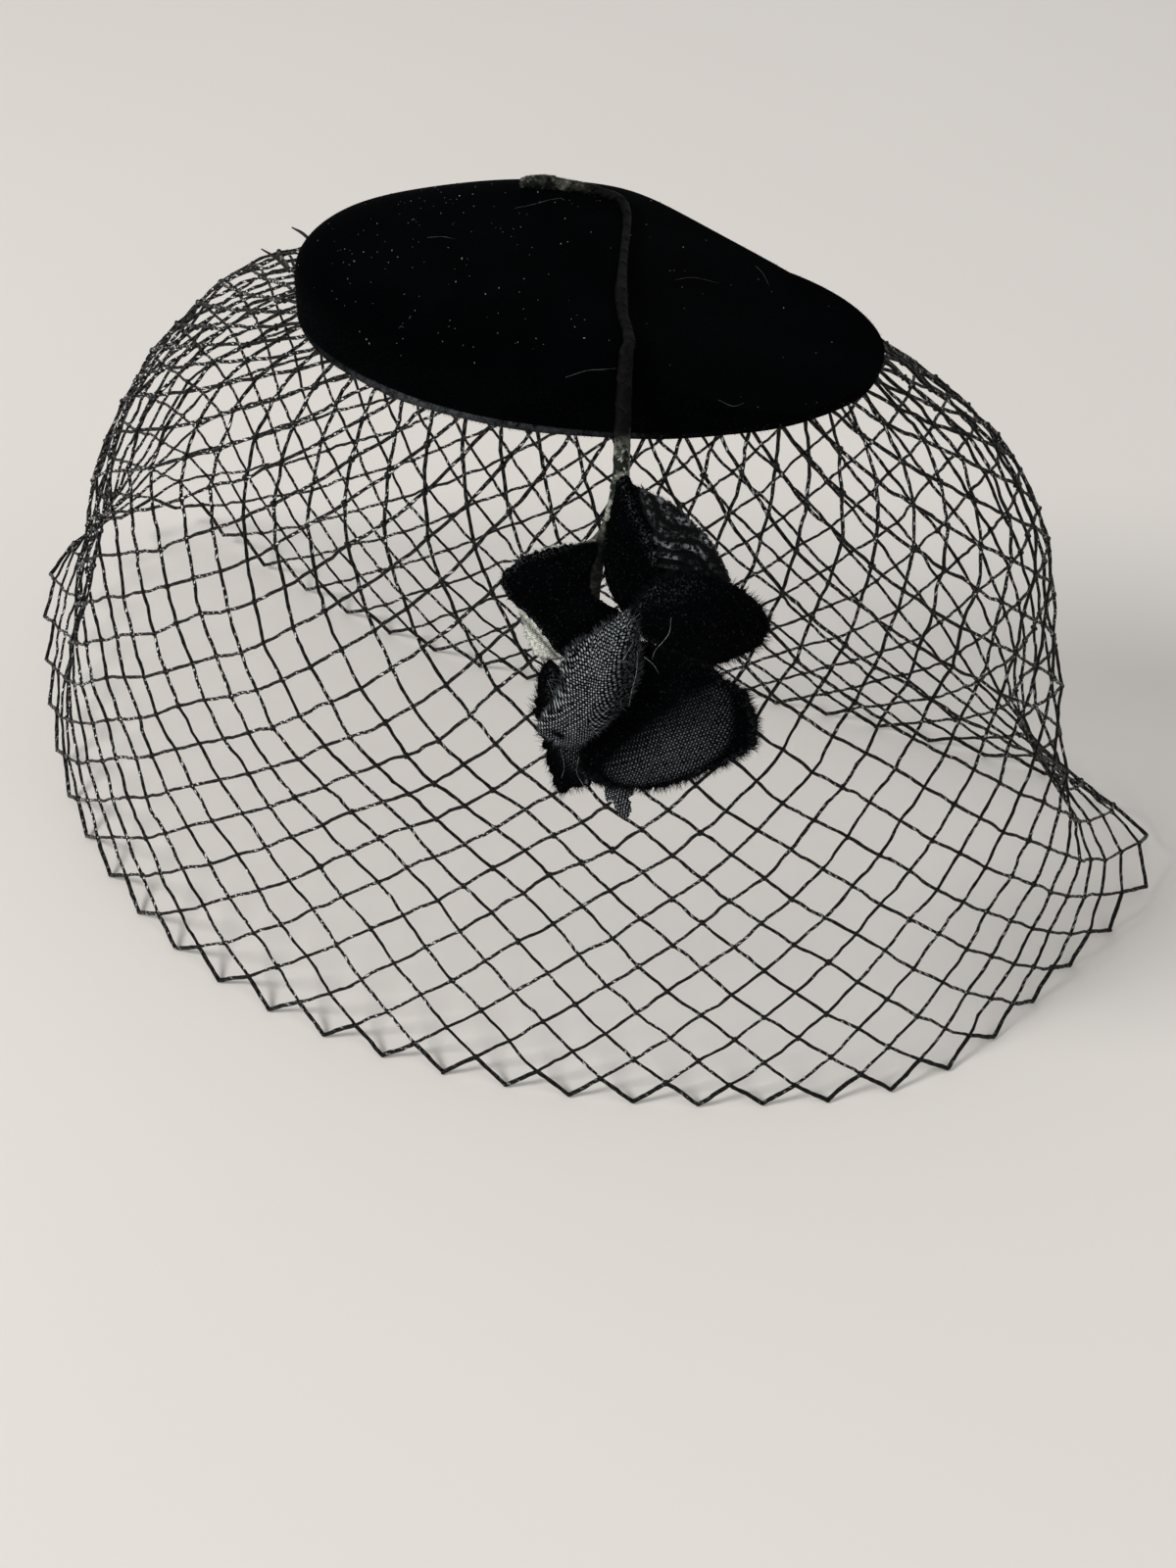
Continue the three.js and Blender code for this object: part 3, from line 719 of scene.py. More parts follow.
hatVelvet = makeHat()
rimBinding = makeRimBinding()
rimPile = bakeNodes(hatVelvet, fibreTree, "rim_pile", pileFibre, rimFuzz)
bindingPile = bakeNodes(rimBinding, fibreTree, "binding_pile", frayFibre, bindingFuzz)
hatSpecks = bakeNodes(hatVelvet, speckTree, "hat_specks", lintFibre, specks)
finishPiece(hatVelvet, "velvet", "velvet_base")
for piece in (rimBinding, rimPile, bindingPile, hatSpecks):
    finishPiece(piece, "velvet")
print("base made:", len(rimPile.data.polygons), "pile faces")


veil = {
    "inset": 1.5, "gap": 0.3,
    "shoulderHeight": 145.0, "chestHeight": 100.0, "waistHeight": 50.0,
    "columns": 51, "rows": 24,      # diamonds round it, half diamonds down it
    "side": 11.5,                   # from knot to knot
    "threadRadius": 0.41, "hemRadius": 0.56, "knotRadius": 0.74, "hemKnot": 1.12,
    "settleSteps": 300, "evenness": 0.9, "straightness": 0.12, "hemWeight": 0.2,
    "jitter": 0.25, "waver": 0.45, "seed": 11,
    "gridAround": 510, "gridDown": 161,
    "flat": (0.83, 0.195),          # metres: 51 by 12 diamonds with square corners
    "area": 0.08,                   # to suit the surface of the threads; the flat size gives 0.162
}
# hemX, hemY, lift, waist, chest, shoulder: where each rib meets the table, how far its hem is
# off it, and how far out it is from the edge of the base (0) to the hem (1) at each height
veilRibs = np.array([
    (155, 46, 2, 0.56, 0.50, 0.38),
    (133, 72, 0, 0.62, 0.54, 0.38),
    (77, 84, 0, 0.75, 0.62, 0.45),
    (24, 89, 0, 0.75, 0.62, 0.45),
    (-30, 82, 0, 0.80, 0.65, 0.45),
    (-82, 93, 0, 0.80, 0.65, 0.45),
    (-129, 114, 0, 0.80, 0.65, 0.47),
    (-176, 134, 0, 0.79, 0.61, 0.40),
    (-193, 92, 12, 0.74, 0.60, 0.37),
    (-178, 48, 12, 0.76, 0.63, 0.42),
    (-152, 1, 1, 0.88, 0.74, 0.53),
    (-111, -39, 0, 0.78, 0.64, 0.44),
    (-62, -62, 0, 0.47, 0.60, 0.44),
    (-7, -69, 0, 0.40, 0.46, 0.36),
    (49, -63, 0, 0.56, 0.46, 0.30),
    (100, -43, 0, 0.66, 0.44, 0.32),
    (133, 3, 0, 0.86, 0.68, 0.50),
])


def veilSurface(u, v):
    # the veil's outer form; u goes round it, v from the edge of the base to the hem
    count = len(veilRibs)
    place = (u % 1) * count
    k = np.floor(place).astype(int)
    rib = between(*(veilRibs[(k + step) % count] for step in (-1, 0, 1, 2)), (place - k)[..., None])
    hemX, hemY, lift, waist, chest, shoulder = np.moveaxis(rib, -1, 0)
    lift = np.maximum(lift, 0)
    none = 0 * waist
    topX = hat["middleX"] + (hat["halfLength"] - veil["inset"]) * np.cos(2 * np.pi * u)
    topY = hat["middleY"] + (hat["halfWidth"] - veil["inset"]) * np.sin(2 * np.pi * u)
    out = np.stack([none, shoulder, chest, waist, 1 + none])
    height = np.stack([hat["edgeHeight"] - veil["gap"] + none, veil["shoulderHeight"] + none,
                       veil["chestHeight"] + none, veil["waistHeight"] + lift / 2, lift])
    spans = len(out) - 1
    step = np.minimum(np.floor(v * spans).astype(int), spans - 1)

    def valueOf(table):
        padded = np.concatenate([2 * table[:1] - table[1:2], table, 2 * table[-1:] - table[-2:-1]])
        taken = (np.take_along_axis(padded, (step + n)[None], axis=0)[0] for n in range(4))
        return between(*taken, v * spans - step)

    share = valueOf(out)
    return np.stack([topX + (hemX - topX) * share, topY + (hemY - topY) * share, valueOf(height)], axis=-1)


def sampleGrid(grid, u, v):
    # bilinear value of a grid that closes in u
    nu, nv = grid.shape[:2]
    a, b = (u % 1) * nu, np.clip(v, 0, 1) * (nv - 1)
    i, j = np.floor(a).astype(int) % nu, np.minimum(np.floor(b).astype(int), nv - 2)
    f, g = (a - np.floor(a))[:, None], (b - j)[:, None]
    n = (i + 1) % nu
    return (grid[i, j] * (1 - f) * (1 - g) + grid[n, j] * f * (1 - g)
            + grid[i, j + 1] * (1 - f) * g + grid[n, j + 1] * f * g)


def settleNet():
    # slides the knots over the veil's form until the sides of the net are about equally long
    # and its threads run smoothly on
    columns, rows, side = veil["columns"], veil["rows"], veil["side"]
    nu, nv = veil["gridAround"], veil["gridDown"]
    gridU, gridV = np.meshgrid(np.arange(nu) / nu, np.linspace(0, 1, nv), indexing="ij")
    grid = veilSurface(gridU, gridV)
    slopeU = (np.roll(grid, -1, axis=0) - np.roll(grid, 1, axis=0)) * nu / 2
    slopeV = np.gradient(grid, axis=1) * (nv - 1)
    row, column = np.indices((rows + 1, columns)).reshape(2, -1)
    knot = lambda r, c: r * columns + c % columns
    beside = lambda r, c: c + (1 if r % 2 else -1)       # the other knot that a thread leads to

    # where the net is gathered in, its diamonds are tall
    u = ((column + 0.5 * (row % 2)) / columns) % 1
    step = np.linalg.norm(np.diff(grid, axis=1), axis=2)
    wide = np.linalg.norm(slopeU, axis=2) / columns
    tall = np.sqrt(np.maximum(side ** 2 - (wide / 2) ** 2, 4))
    count = np.cumsum(step / ((tall[:, 1:] + tall[:, :-1]) / 2), axis=1)
    count = np.concatenate([np.zeros((nu, 1)), count], axis=1)
    counted = count[(u * nu).astype(int) % nu]
    v = np.array([np.interp(r / rows * each[-1], each, gridV[0]) for r, each in zip(row, counted)])

    edges = np.array([pair for r in range(rows) for c in range(columns)
                      for pair in ((knot(r, c), knot(r + 1, c)), (knot(r, c), knot(r + 1, beside(r, c))))])
    crossings = np.array([line for r in range(1, rows) for c in range(columns) for line in (
        (knot(r, c), knot(r - 1, c), knot(r + 1, beside(r, c))),
        (knot(r, c), knot(r - 1, beside(r, c)), knot(r + 1, c)))])
    first, second = edges.T
    here, before, after = crossings.T
    degree = np.bincount(edges.ravel(), minlength=len(u))[:, None]
    for turn in range(veil["settleSteps"]):
        points = sampleGrid(grid, u, v)
        line = points[second] - points[first]
        length = np.linalg.norm(line, axis=1)[:, None]
        pull = line * (length - side) / np.maximum(length, 0.01) * veil["evenness"]
        move = np.zeros_like(points)
        np.add.at(move, first, pull / degree[first])
        np.add.at(move, second, -pull / degree[second])
        np.add.at(move, here, ((points[before] + points[after]) / 2 - points[here]) * veil["straightness"])
        alongU, alongV = sampleGrid(slopeU, u, v), sampleGrid(slopeV, u, v)
        uu, uv, vv, mu, mv = ((p * q).sum(axis=1) for p, q in (
            (alongU, alongU), (alongU, alongV), (alongV, alongV), (move, alongU), (move, alongV)))
        bottom = np.maximum(uu * vv - uv * uv, 1e-6)
        u = u + np.where(row > 0, (mu * vv - mv * uv) / bottom, 0)
        v = np.clip(v + np.where(row > 0, (mv * uu - mu * uv) / bottom, 0), 0, 1)
        v = np.where(row == rows, v + (1 - v) * veil["hemWeight"], v)

    points = sampleGrid(grid, u, v)
    inside = (row > 0) & (row < rows)
    chance = np.random.default_rng(veil["seed"])
    points += chance.normal(size=points.shape) * np.where(inside, veil["jitter"], 0)[:, None]
    x, y, z = points.T
    slow = np.stack([np.sin(y / 7.3 + z / 5.1), np.sin(x / 6.4 + 1.7), np.sin(x / 9.1 - y / 6.7)], axis=1)
    points += slow * np.where(inside, veil["waver"] * np.sin(np.pi * row / rows), 0)[:, None]
    points[:, 2] = np.maximum(points[:, 2], veil["hemRadius"] * 1.6)      # nothing sinks into the table
    length = np.linalg.norm(points[second] - points[first], axis=1)
    print("net sides: mean %.2f mm, spread %.2f mm" % (length.mean(), length.std()))
    return points, edges, row


def netPart(name, tree, material, values, points, edges=()):
    source = meshObject("net_source", inFrame(points), [], None, edges=edges)
    made = bakeNodes(source, tree, name, material, values)
    bpy.data.objects.remove(source, do_unlink=True)
    return made


def threadsOf(name, material, values, points, sides):
    # each side of the net has ends of its own, so that it becomes one thread
    pairs = np.arange(len(sides) * 2).reshape(-1, 2)
    return netPart(name, threadTree, material, values, points[sides.ravel()], pairs)


def makeNet():
    points, edges, row = settleNet()
    last = row[edges].max(axis=1)
    body = {"Radius": veil["threadRadius"] * mm, "Steps": 7, "Sides": 6, "Wander": 0.55 * mm, "Uneven": 0.35}
    hem = {"Radius": veil["hemRadius"] * mm, "Steps": 9, "Sides": 8, "Wander": 0.35 * mm, "Uneven": 0.3}
    knot = {"Radius": veil["knotRadius"] * mm, "Seed": 5}
    hemKnot = {"Radius": veil["hemRadius"] * veil["hemKnot"] * mm, "Seed": 8}
    return (
        threadsOf("net_threads", netThread, body, points, edges[last < veil["rows"]]),
        threadsOf("net_hem", hemThread, hem, points, edges[last == veil["rows"]]),
        netPart("net_knots", knotTree, knotThread, knot, points[(row > 0) & (row < veil["rows"])]),
        netPart("hem_knots", knotTree, knotThread, hemKnot, points[row == veil["rows"]]),
    )


netThreads, *netRest = makeNet()
finishPiece(netThreads, "net", "veil")
for piece in netRest:
    finishPiece(piece, "net")
print("net made:", len(netThreads.data.polygons), "thread faces")


# the spray's own axes: right, down and out, in millimetres
spray = {"originX": 20.0, "originY": -47.0, "originZ": 177.0, "lean": 11.0}


def onSpray(points):
    right, down, out = np.moveaxis(np.asarray(points, dtype=float), -1, 0)
    lean = math.radians(spray["lean"])
    return np.stack([
        spray["originX"] + right,
        spray["originY"] - down * math.sin(lean) - out * math.cos(lean),
        spray["originZ"] - down * math.cos(lean) + out * math.sin(lean),
    ], axis=-1)


ridgeHeight, tipLength = 0.13, 0.5       # shares of a tube's radius


def makeTube(name, route, radii, material, sides, steps, ridge=None, hanging=None):
    # a tube along the route, in millimetres, with its own radius at every point
    line = openCurve(np.column_stack([route, radii]), steps)
    centre, radius = line[:, :3], line[:, 3]
    tangent = np.gradient(centre, axis=0)
    tangent /= np.linalg.norm(tangent, axis=1)[:, None]
    normal = np.cross(tangent[0], (0, 0, 1.0))
    run = np.concatenate([[0], np.cumsum(np.linalg.norm(np.diff(centre, axis=0), axis=1))])
    points, ridges = [], []
    for k in range(steps):
        normal = normal - tangent[k] * np.dot(normal, tangent[k])
        normal /= np.linalg.norm(normal)
        other = np.cross(tangent[k], normal)
        for s in range(sides):
            turn = 2 * math.pi * s / sides
            high = ridge(run[k], turn) if ridge else 0.0
            grow = radius[k] * (1 + ridgeHeight * high)
            points.append(centre[k] + grow * (normal * math.cos(turn) + other * math.sin(turn)))
            ridges.append(high)
    points.append(centre[0] - tangent[0] * radius[0] * tipLength)
    points.append(centre[-1] + tangent[-1] * radius[-1] * tipLength)
    ridges += [0.5, 0.5]
    last, tip = (steps - 1) * sides, len(points) - 1
    faces = ringFaces(steps, sides)
    faces += [(tip - 1, n, s) for s, n in neighbours(sides)]
    faces += [(last + s, last + n, tip) for s, n in neighbours(sides)]
    piece = meshObject(name, inFrame(points), faces, material)
    addFloat(piece, "ridge", ridges)
    addFloat(piece, "hanging", hanging(np.array(points)) if hanging else np.ones(len(points)))
    return piece


stem = {
    # x, y, height above the crown, radius
    "overCrown": [
        (-20, 28.6, 1.4, 1.1), (-17.2, 29, 1.8, 1.5), (-14, 29.6, 1.8, 1.45), (-9.6, 29.4, 1.6, 1.2),
        (-5, 29.2, 1.5, 1.1), (-1.5, 28.2, 1.4, 1.05), (1.4, 27.8, 1.4, 1.05), (3.8, 25.8, 1.3, 1.0),
        (5.5, 21, 1.2, 0.9), (6.7, 14.7, 1.2, 0.85), (8, 6.5, 1.2, 0.85), (9.7, -3.3, 1.3, 1.0),
        (11.2, -10.9, 1.5, 1.3), (13.1, -17.8, 1.4, 1.05), (15.3, -23.1, 1.4, 1.1),
        (16.2, -26.6, 1.5, 1.2), (16.5, -31, 1.7, 1.4),
    ],
    "sunk": 0.2,          # how far the tape is pressed into the pile
    # right, down, out, radius
    "hanging": [
        (-1.5, -9.7, -2.6, 1.55), (-0.8, -3, 0.2, 1.6), (-1.0, 1.5, 1.2, 1.6), (-1.8, 6, 1.9, 1.35),
        (-3.0, 10.5, 2.9, 1.15), (-3.9, 16.5, 3.8, 1.3), (-4.3, 22, 4.1, 1.3), (-4.5, 28.4, 4.3, 1.2),
        (-4.5, 34, 4.6, 1.0),
    ],
    "branch": [
        (-3.2, 9.6, 2.7, 0.75), (-5.6, 12.6, 3.0, 0.65), (-9, 14.2, 3.3, 0.6), (-13, 16, 3.4, 0.5),
    ],
    "wrap": 5.5,          # the tape climbs this far in a turn
    "green": 0.3,         # of the branch, and of the blunt end over the crown
    "fuzz": {"Density": 2.2e6, "Length": 0.75 * mm, "Radius": 0.03 * mm, "Scatter": 0.7, "Seed": 21},
}


def tapeRidge(run, turn):
    place = (run / stem["wrap"] + turn / (2 * math.pi)) % 1.0
    lump = 0.5 + 0.5 * math.sin(run * 1.9 + 2.1 * math.sin(turn * 2 + run * 0.7))
    return (place ** 3) * 0.9 + 0.25 * lump


def tapeGreenAndShade(points):
    # green from the front edge of the base down to the petals, painted dark below that as shade under the
    # petals, and a little at the blunt end
    x, y, z = points.T
    front = ramp(z, 187, -6) * ramp(y, -20, -6) * np.maximum(ramp(z, 166.5, 6), 0.04)
    return front + stem["green"] * ramp(x, -3, -8) * (y > 20)


def makeStem():
    x, y, above, radius = np.array(stem["overCrown"], dtype=float).T
    over = np.column_stack([x, y, crownAt(x, y) + above - stem["sunk"], radius])
    hang, twig = (np.array(stem[part], dtype=float) for part in ("hanging", "branch"))
    route = np.vstack([over, np.column_stack([onSpray(hang[:, :3]), hang[:, 3]])])
    main = makeTube("stem_tape", route[:, :3], route[:, 3], stemTape, sides=24, steps=300,
                    ridge=tapeRidge, hanging=tapeGreenAndShade)
    branch = makeTube("branch_tape", onSpray(twig[:, :3]), twig[:, 3], stemTape, sides=12, steps=60,
                      ridge=tapeRidge, hanging=lambda points: np.full(len(points), stem["green"]))
    # fuzz on the blunt end over the crown
    place = np.array([v.co for v in main.data.vertices]) / mm - planZero
    addFloat(main, "fuzz", ramp(place[:, 0], -2, -6) * (place[:, 1] > 20))
    addVector(main, "outwards", [v.normal for v in main.data.vertices])
    return main, branch, bakeNodes(main, fibreTree, "stem_fuzz", frayFibre, stem["fuzz"])


stemPiece, branchPiece, stemFuzz = makeStem()
finishPiece(stemPiece, "stem_tape", "stem")
finishPiece(branchPiece, "stem_tape", "stem_branch")
finishPiece(stemFuzz, "stem_tape")
print("stem made")


def ridges(right, down, turn, pitch, warp, seed):
    # long soft creases, 0 to 1, that run along the turn direction
    a = math.radians(turn)
    along = right * math.cos(a) + down * math.sin(a)
    across = -right * math.sin(a) + down * math.cos(a)
    bent = across + warp * np.sin(along / 5.3 + seed) + 0.5 * warp * np.sin(along / 2.3 + 2.1 * seed)
    return (0.5 + 0.5 * np.cos(2 * np.pi * bent / pitch)) ** 2


def softInside(right, down, outline, soft):
    # 1 well inside the outline, 0 well outside it, over a border this wide
    loop = closedCurve(outline, 90)
    nextOne = np.roll(loop, -1, axis=0)
    way = nextOne - loop
    x, y = right[:, None], down[:, None]
    fromX, fromY = x - loop[:, 0], y - loop[:, 1]
    along = np.clip((fromX * way[:, 0] + fromY * way[:, 1]) / (way ** 2).sum(axis=1), 0, 1)
    off = np.hypot(fromX - along * way[:, 0], fromY - along * way[:, 1]).min(axis=1)
    spans = (loop[:, 1] > y) != (nextOne[:, 1] > y)
    cut = loop[:, 0] + fromY * way[:, 0] / np.where(way[:, 1] == 0, 1e-9, way[:, 1])
    inside = ((spans & (x < cut)).sum(axis=1) % 2) == 1
    share = np.clip(0.5 + np.where(inside, off, -off) / soft, 0, 1)
    return share * share * (3 - 2 * share)


# a petal's outline is in right, down and out; each petal's own values go over these
plainPetal = {
    "around": 108, "rings": 18, "ringSpacing": 0.85,
    "crumple": 0.0, "creases": None, "ragged": 0.25, "dip": 2.0, "spin": 0.0, "thickness": 0.8,
    "fuzzFrom": 0.96,       # the share of the way to the rim
    "letOut": 0.35,         # flat millimetres for each one that the petal bulges
}
softPile = {"Density": 4.2e7, "Length": 2.5 * mm, "Radius": 0.065 * mm, "Scatter": 0.55}
shortPile = {"Density": 2.6e7, "Length": 1.1 * mm, "Radius": 0.065 * mm, "Scatter": 0.7}
fray = {"Density": 1.2e7, "Length": 1.8 * mm, "Radius": 0.065 * mm, "Scatter": 0.8}
tabFray = {"Density": 2.4e6, "Length": 0.9 * mm, "Radius": 0.065 * mm, "Scatter": 0.5}


def petalSheet(name, cloth, petal, woven, worn, raised):
    # a petal cut to its outline and crowned towards its middle
    around, rings, seed, creases = (petal[key] for key in ("around", "rings", "seed", "creases"))
    rim = closedCurve(petal["outline"], around)
    centre = np.array(petal["middle"], dtype=float)
    tooth = np.random.default_rng(seed).normal(size=around) * petal["ragged"]
    radial = rim[:, :2] - centre[:2]
    rim[:, :2] += radial / np.linalg.norm(radial, axis=1)[:, None] * tooth[:, None]
    points, share = [centre], [0.0]
    for r in range(1, rings + 1):
        s = (r / rings) ** petal["ringSpacing"]
        level = centre[2] * (1 - s ** petal["dip"]) + rim[:, 2] * s ** petal["dip"]
        points.extend(np.column_stack([centre[:2] + (rim[:, :2] - centre[:2]) * s, level]))
        share.extend([s] * around)
    points, share = np.array(points), np.array(share)
    right, down = points[:, 0], points[:, 1]
    relief = petal["crumple"] * (np.sin(right / 2.1 + seed) * np.sin(down / 2.7 + 1.3 * seed)
                                 + 0.5 * np.sin(right / 1.1 - down / 1.5 + seed))
    lit = 0 * share
    if creases:
        lit = ridges(right, down, creases["turn"], creases["pitch"], creases["warp"], seed)
        relief += creases["height"] * (lit - 0.4) * (1 - share ** 6)
    if raised:
        relief += raised(right, down)
    points[:, 2] += relief
    faces = [(0, 1 + n, 1 + k) for k, n in neighbours(around)] + ringFaces(rings, around, start=1)
    solid = onSpray(points)
    piece = meshObject(name, inFrame(solid), faces, cloth)
    if sum(p.normal.y for p in piece.data.polygons) > 0:
        piece.data.flip_normals()
    for title, mark in (("woven", woven), ("worn", worn)):
        values = mark(right, down, share, lit) if mark else 0.0
        addFloat(piece, title, np.clip(values, 0, 1) + 0 * share)
    addFloat(piece, "fuzz", share > petal["fuzzFrom"])
    outward = solid - onSpray(centre)
    addVector(piece, "outwards", outward / np.maximum(np.linalg.norm(outward, axis=1)[:, None], 0.01))

    # the cloth's flat place, let out where the petal bulges
    a = math.radians(petal["spin"])
    flatU = right * math.cos(a) - down * math.sin(a)
    flatV = right * math.sin(a) + down * math.cos(a)
    flatU = flatU + petal["letOut"] * (points[:, 2] - centre[2]) * np.sign(flatU - flatU.mean())
    corners = np.empty(len(piece.data.loops), dtype=np.int32)
    piece.data.loops.foreach_get("vertex_index", corners)
    layer = piece.data.uv_layers.new(name="cloth")
    layer.data.foreach_set("uv", np.column_stack([flatU[corners], flatV[corners]]).ravel())
    return piece


def makePetal(node, slot, cloth, petal, pile, fibre=pileFibre, woven=None, worn=None, raised=None):
    # the woven share and the marks, which on the crushed petal are painted highlights, are worked out from
    # right, down, the share of the way to the rim, and the crease
    petal = {**plainPetal, **petal}
    piece = petalSheet(node + "_cloth", cloth, petal, woven, worn, raised)
    fuzz = bakeNodes(piece, fibreTree, piece.name + "_fuzz", fibre, {**pile, "Seed": petal["fuzzSeed"]})
    print(piece.name, "fuzz faces", len(fuzz.data.polygons))
    wall = piece.modifiers.new("wall", "SOLIDIFY")
    wall.thickness = petal["thickness"] * mm
    wall.offset = -1.0
    finishPiece(piece, slot, node)
    finishPiece(fuzz, slot)


# the part of the crushed petal where the painted highlights on its creases are strongest
softShine = [(3, -1.5), (12, 1.5), (20, 7.5), (23.5, 15.5), (18, 14.5), (13, 11.5), (8.5, 9), (4, 3)]
makePetal(
    "petal_crushed", "petal_crushed", crushedCloth, {
        "outline": [
            (0.5, -1.6, 3.4), (2.5, -1.8, 3.6), (5.5, -0.9, 3.8), (10, 1.0, 4.4), (15, 3.6, 5.2),
            (18.9, 6.8, 5.8), (22.0, 11.4, 6.4), (23.6, 15.4, 6.2), (20.5, 17.5, 5.5), (15.5, 19.5, 5.2),
            (10.5, 20.5, 4.8), (7, 17.5, 4.2), (3.8, 10.5, 3.8), (1.4, 3.5, 3.4),
        ],
        "middle": (11.5, 8.6, 6.8), "around": 144, "rings": 36, "crumple": 0.35, "ragged": 0.2,
        "creases": {"turn": 34, "pitch": 3.0, "warp": 1.9, "height": 0.8}, "seed": 3, "fuzzSeed": 31,
    }, shortPile, frayFibre,
    # painted highlights on the crests of the creases, strongest inside softShine
    worn=lambda right, down, share, crease: np.clip(crease * 1.25, 0, 1) * (
        0.32 + 0.68 * softInside(right, down, softShine, 4.0)))

makePetal(
    "petal_inner", "petal_velvet", petalCloth, {
        "outline": [
            (-0.2, -3.4, 4.0), (2.2, -2.8, 4.6), (5.0, 2.5, 5.2), (8.4, 9.5, 6), (10.4, 15.5, 6.4),
            (9.0, 20.5, 6.6), (6.0, 24.6, 7), (3.4, 25.8, 7), (0.8, 23.6, 6.4), (-1.6, 19.4, 5.8),
            (-2.8, 14.2, 5.2), (-2.4, 8.4, 4.8), (-1.6, 3, 4.4),
        ],
        "middle": (3.4, 12, 7.2), "crumple": 0.12, "seed": 5, "fuzzSeed": 32,
    }, shortPile,
    # lighter flecks along a slanting fold in its upper half
    worn=lambda right, down, share, crease: 0.3 * bell((right - 0.50 * down - 1.6) / 0.8) * (down < 14))

# a scuffed patch of the right petal
leftScuff = [(8, 19.6), (14, 14.2), (19, 15), (11, 20.4)]
makePetal(
    "petal_right", "petal_velvet", petalCloth, {
        "outline": [
            (5.0, 24, 8), (6.2, 20.5, 8.2), (8.6, 17.2, 8.4), (11.5, 14.2, 8.6), (16, 12.4, 9.0),
            (22, 13.4, 9.4), (27, 15.2, 9.5), (30.6, 18.3, 9.3), (32.6, 22, 9), (31.6, 26.6, 8.8),
            (28, 29.8, 8.8), (22.5, 33.0, 9), (18, 32.6, 9), (13, 31, 8.8), (8, 30.2, 8.4), (5.4, 28, 8),
        ],
        "middle": (18.5, 23, 11.4), "around": 132, "crumple": 0.12, "ragged": 0.2, "seed": 7, "fuzzSeed": 33,
    }, softPile,
    worn=lambda right, down, share, crease: (
        0.13 * softInside(right, down, leftScuff, 5.0) + 0.35 * ramp(share, 0.82, 0.18) * (right < 10)))

makePetal(
    "petal_left", "petal_velvet", petalCloth, {
        "outline": [
            (-3.0, 12.6, 4.4), (-5, 12.1, 4.4), (-8, 12.6, 4.6), (-12.8, 14.2, 5), (-18.6, 16.7, 5.4),
            (-22.8, 20.6, 5.8), (-23.4, 24.0, 5.8), (-21.2, 27.2, 6), (-18, 29.6, 6.2),
            (-14.4, 33.0, 6.6), (-10.4, 37.6, 7), (-6.6, 38.4, 7), (-2.6, 33.6, 7), (0.8, 29, 6.8),
            (2.0, 26.2, 6.4), (-1.4, 24.4, 6), (-4.6, 22.6, 5.6), (-5.0, 17.8, 5.0),
        ],
        "middle": (-10.5, 25, 6.6), "around": 132, "crumple": 0.18, "ragged": 0.22, "seed": 9, "fuzzSeed": 34,
    }, shortPile,
    worn=lambda right, down, share, crease: 0.35 * ramp(share, 0.85, 0.15) * ramp(right, -8, -6))

makePetal(
    "petal_left_back", "leaf_cloth", leafCloth, {
        "outline": [
            (-6.5, 14.0, 2.6), (-9.5, 13.7, 2.8), (-12.8, 14.5, 3.2), (-17.6, 17.0, 3.4),
            (-20.2, 21.4, 3.4), (-20.4, 26.4, 3.2), (-20.3, 30.0, 3.0), (-19.3, 34.0, 2.9),
            (-18.0, 38, 2.8), (-16.4, 41.0, 2.8), (-13, 41.4, 3), (-10, 40.2, 3.2), (-8, 36, 3.4),
            (-8, 24, 3.2),
        ],
        "middle": (-13, 28, 3.4), "crumple": 0.12, "ragged": 0.15, "spin": 35, "thickness": 0.5,
        "seed": 11, "fuzzSeed": 35,
    }, shortPile, lintFibre,
    # a vein that slants across its lower half
    worn=lambda right, down, share, crease: bell((down - 33.8 - 1.05 * (right + 18.1)) / 0.7))


def foldSide(right, down, start, over):
    # across the fold of the folded petal, which leans as it goes down
    return ramp(right, start - 0.16 * (down - 30), over)


makePetal(
    "petal_folded", "petal_backing", petalCloth, {
        "outline": [
            (4.2, 23.6, 9.6), (6.2, 26.5, 9.8), (7.2, 31, 9.8), (7.2, 37, 10), (6, 42, 10.4),
            (2.5, 48, 11.4), (-1.5, 53, 12), (-5.5, 56.2, 12), (-9.5, 56.6, 11.4), (-13.5, 54.6, 10.6),
            (-12.8, 50.5, 10.2), (-10.4, 46, 10), (-9, 42, 9.6), (-9.2, 37.5, 9.2), (-7, 33.4, 9.2),
            (-2.8, 29.4, 9.2), (1.5, 25.2, 9.4),
        ],
        "middle": (-1.5, 41, 17.0), "around": 132, "rings": 26, "dip": 2.4, "spin": 4,
        "creases": {"turn": 112, "pitch": 7.5, "warp": 0.5, "height": 0.5}, "seed": 13, "fuzzSeed": 36,
    }, fray, frayFibre,
    # past the fold the pile shows, partly the pile at the curled edge and partly painted shade where the
    # petal curls away from the light; the pile also shows through a hole near the tip
    woven=lambda right, down, share, crease: (
        1 - 0.92 * foldSide(right, down, 3.4, 2.2)
        - 1.3 * bell((right + 8.4) / 2.1) * bell((down - 52.8) / 1.4)),
    worn=lambda right, down, share, crease: (
        0.9 * ramp(share, 0.86, 0.14) * (down > 48) + 0.55 * foldSide(right, down, 3.0, 3)))

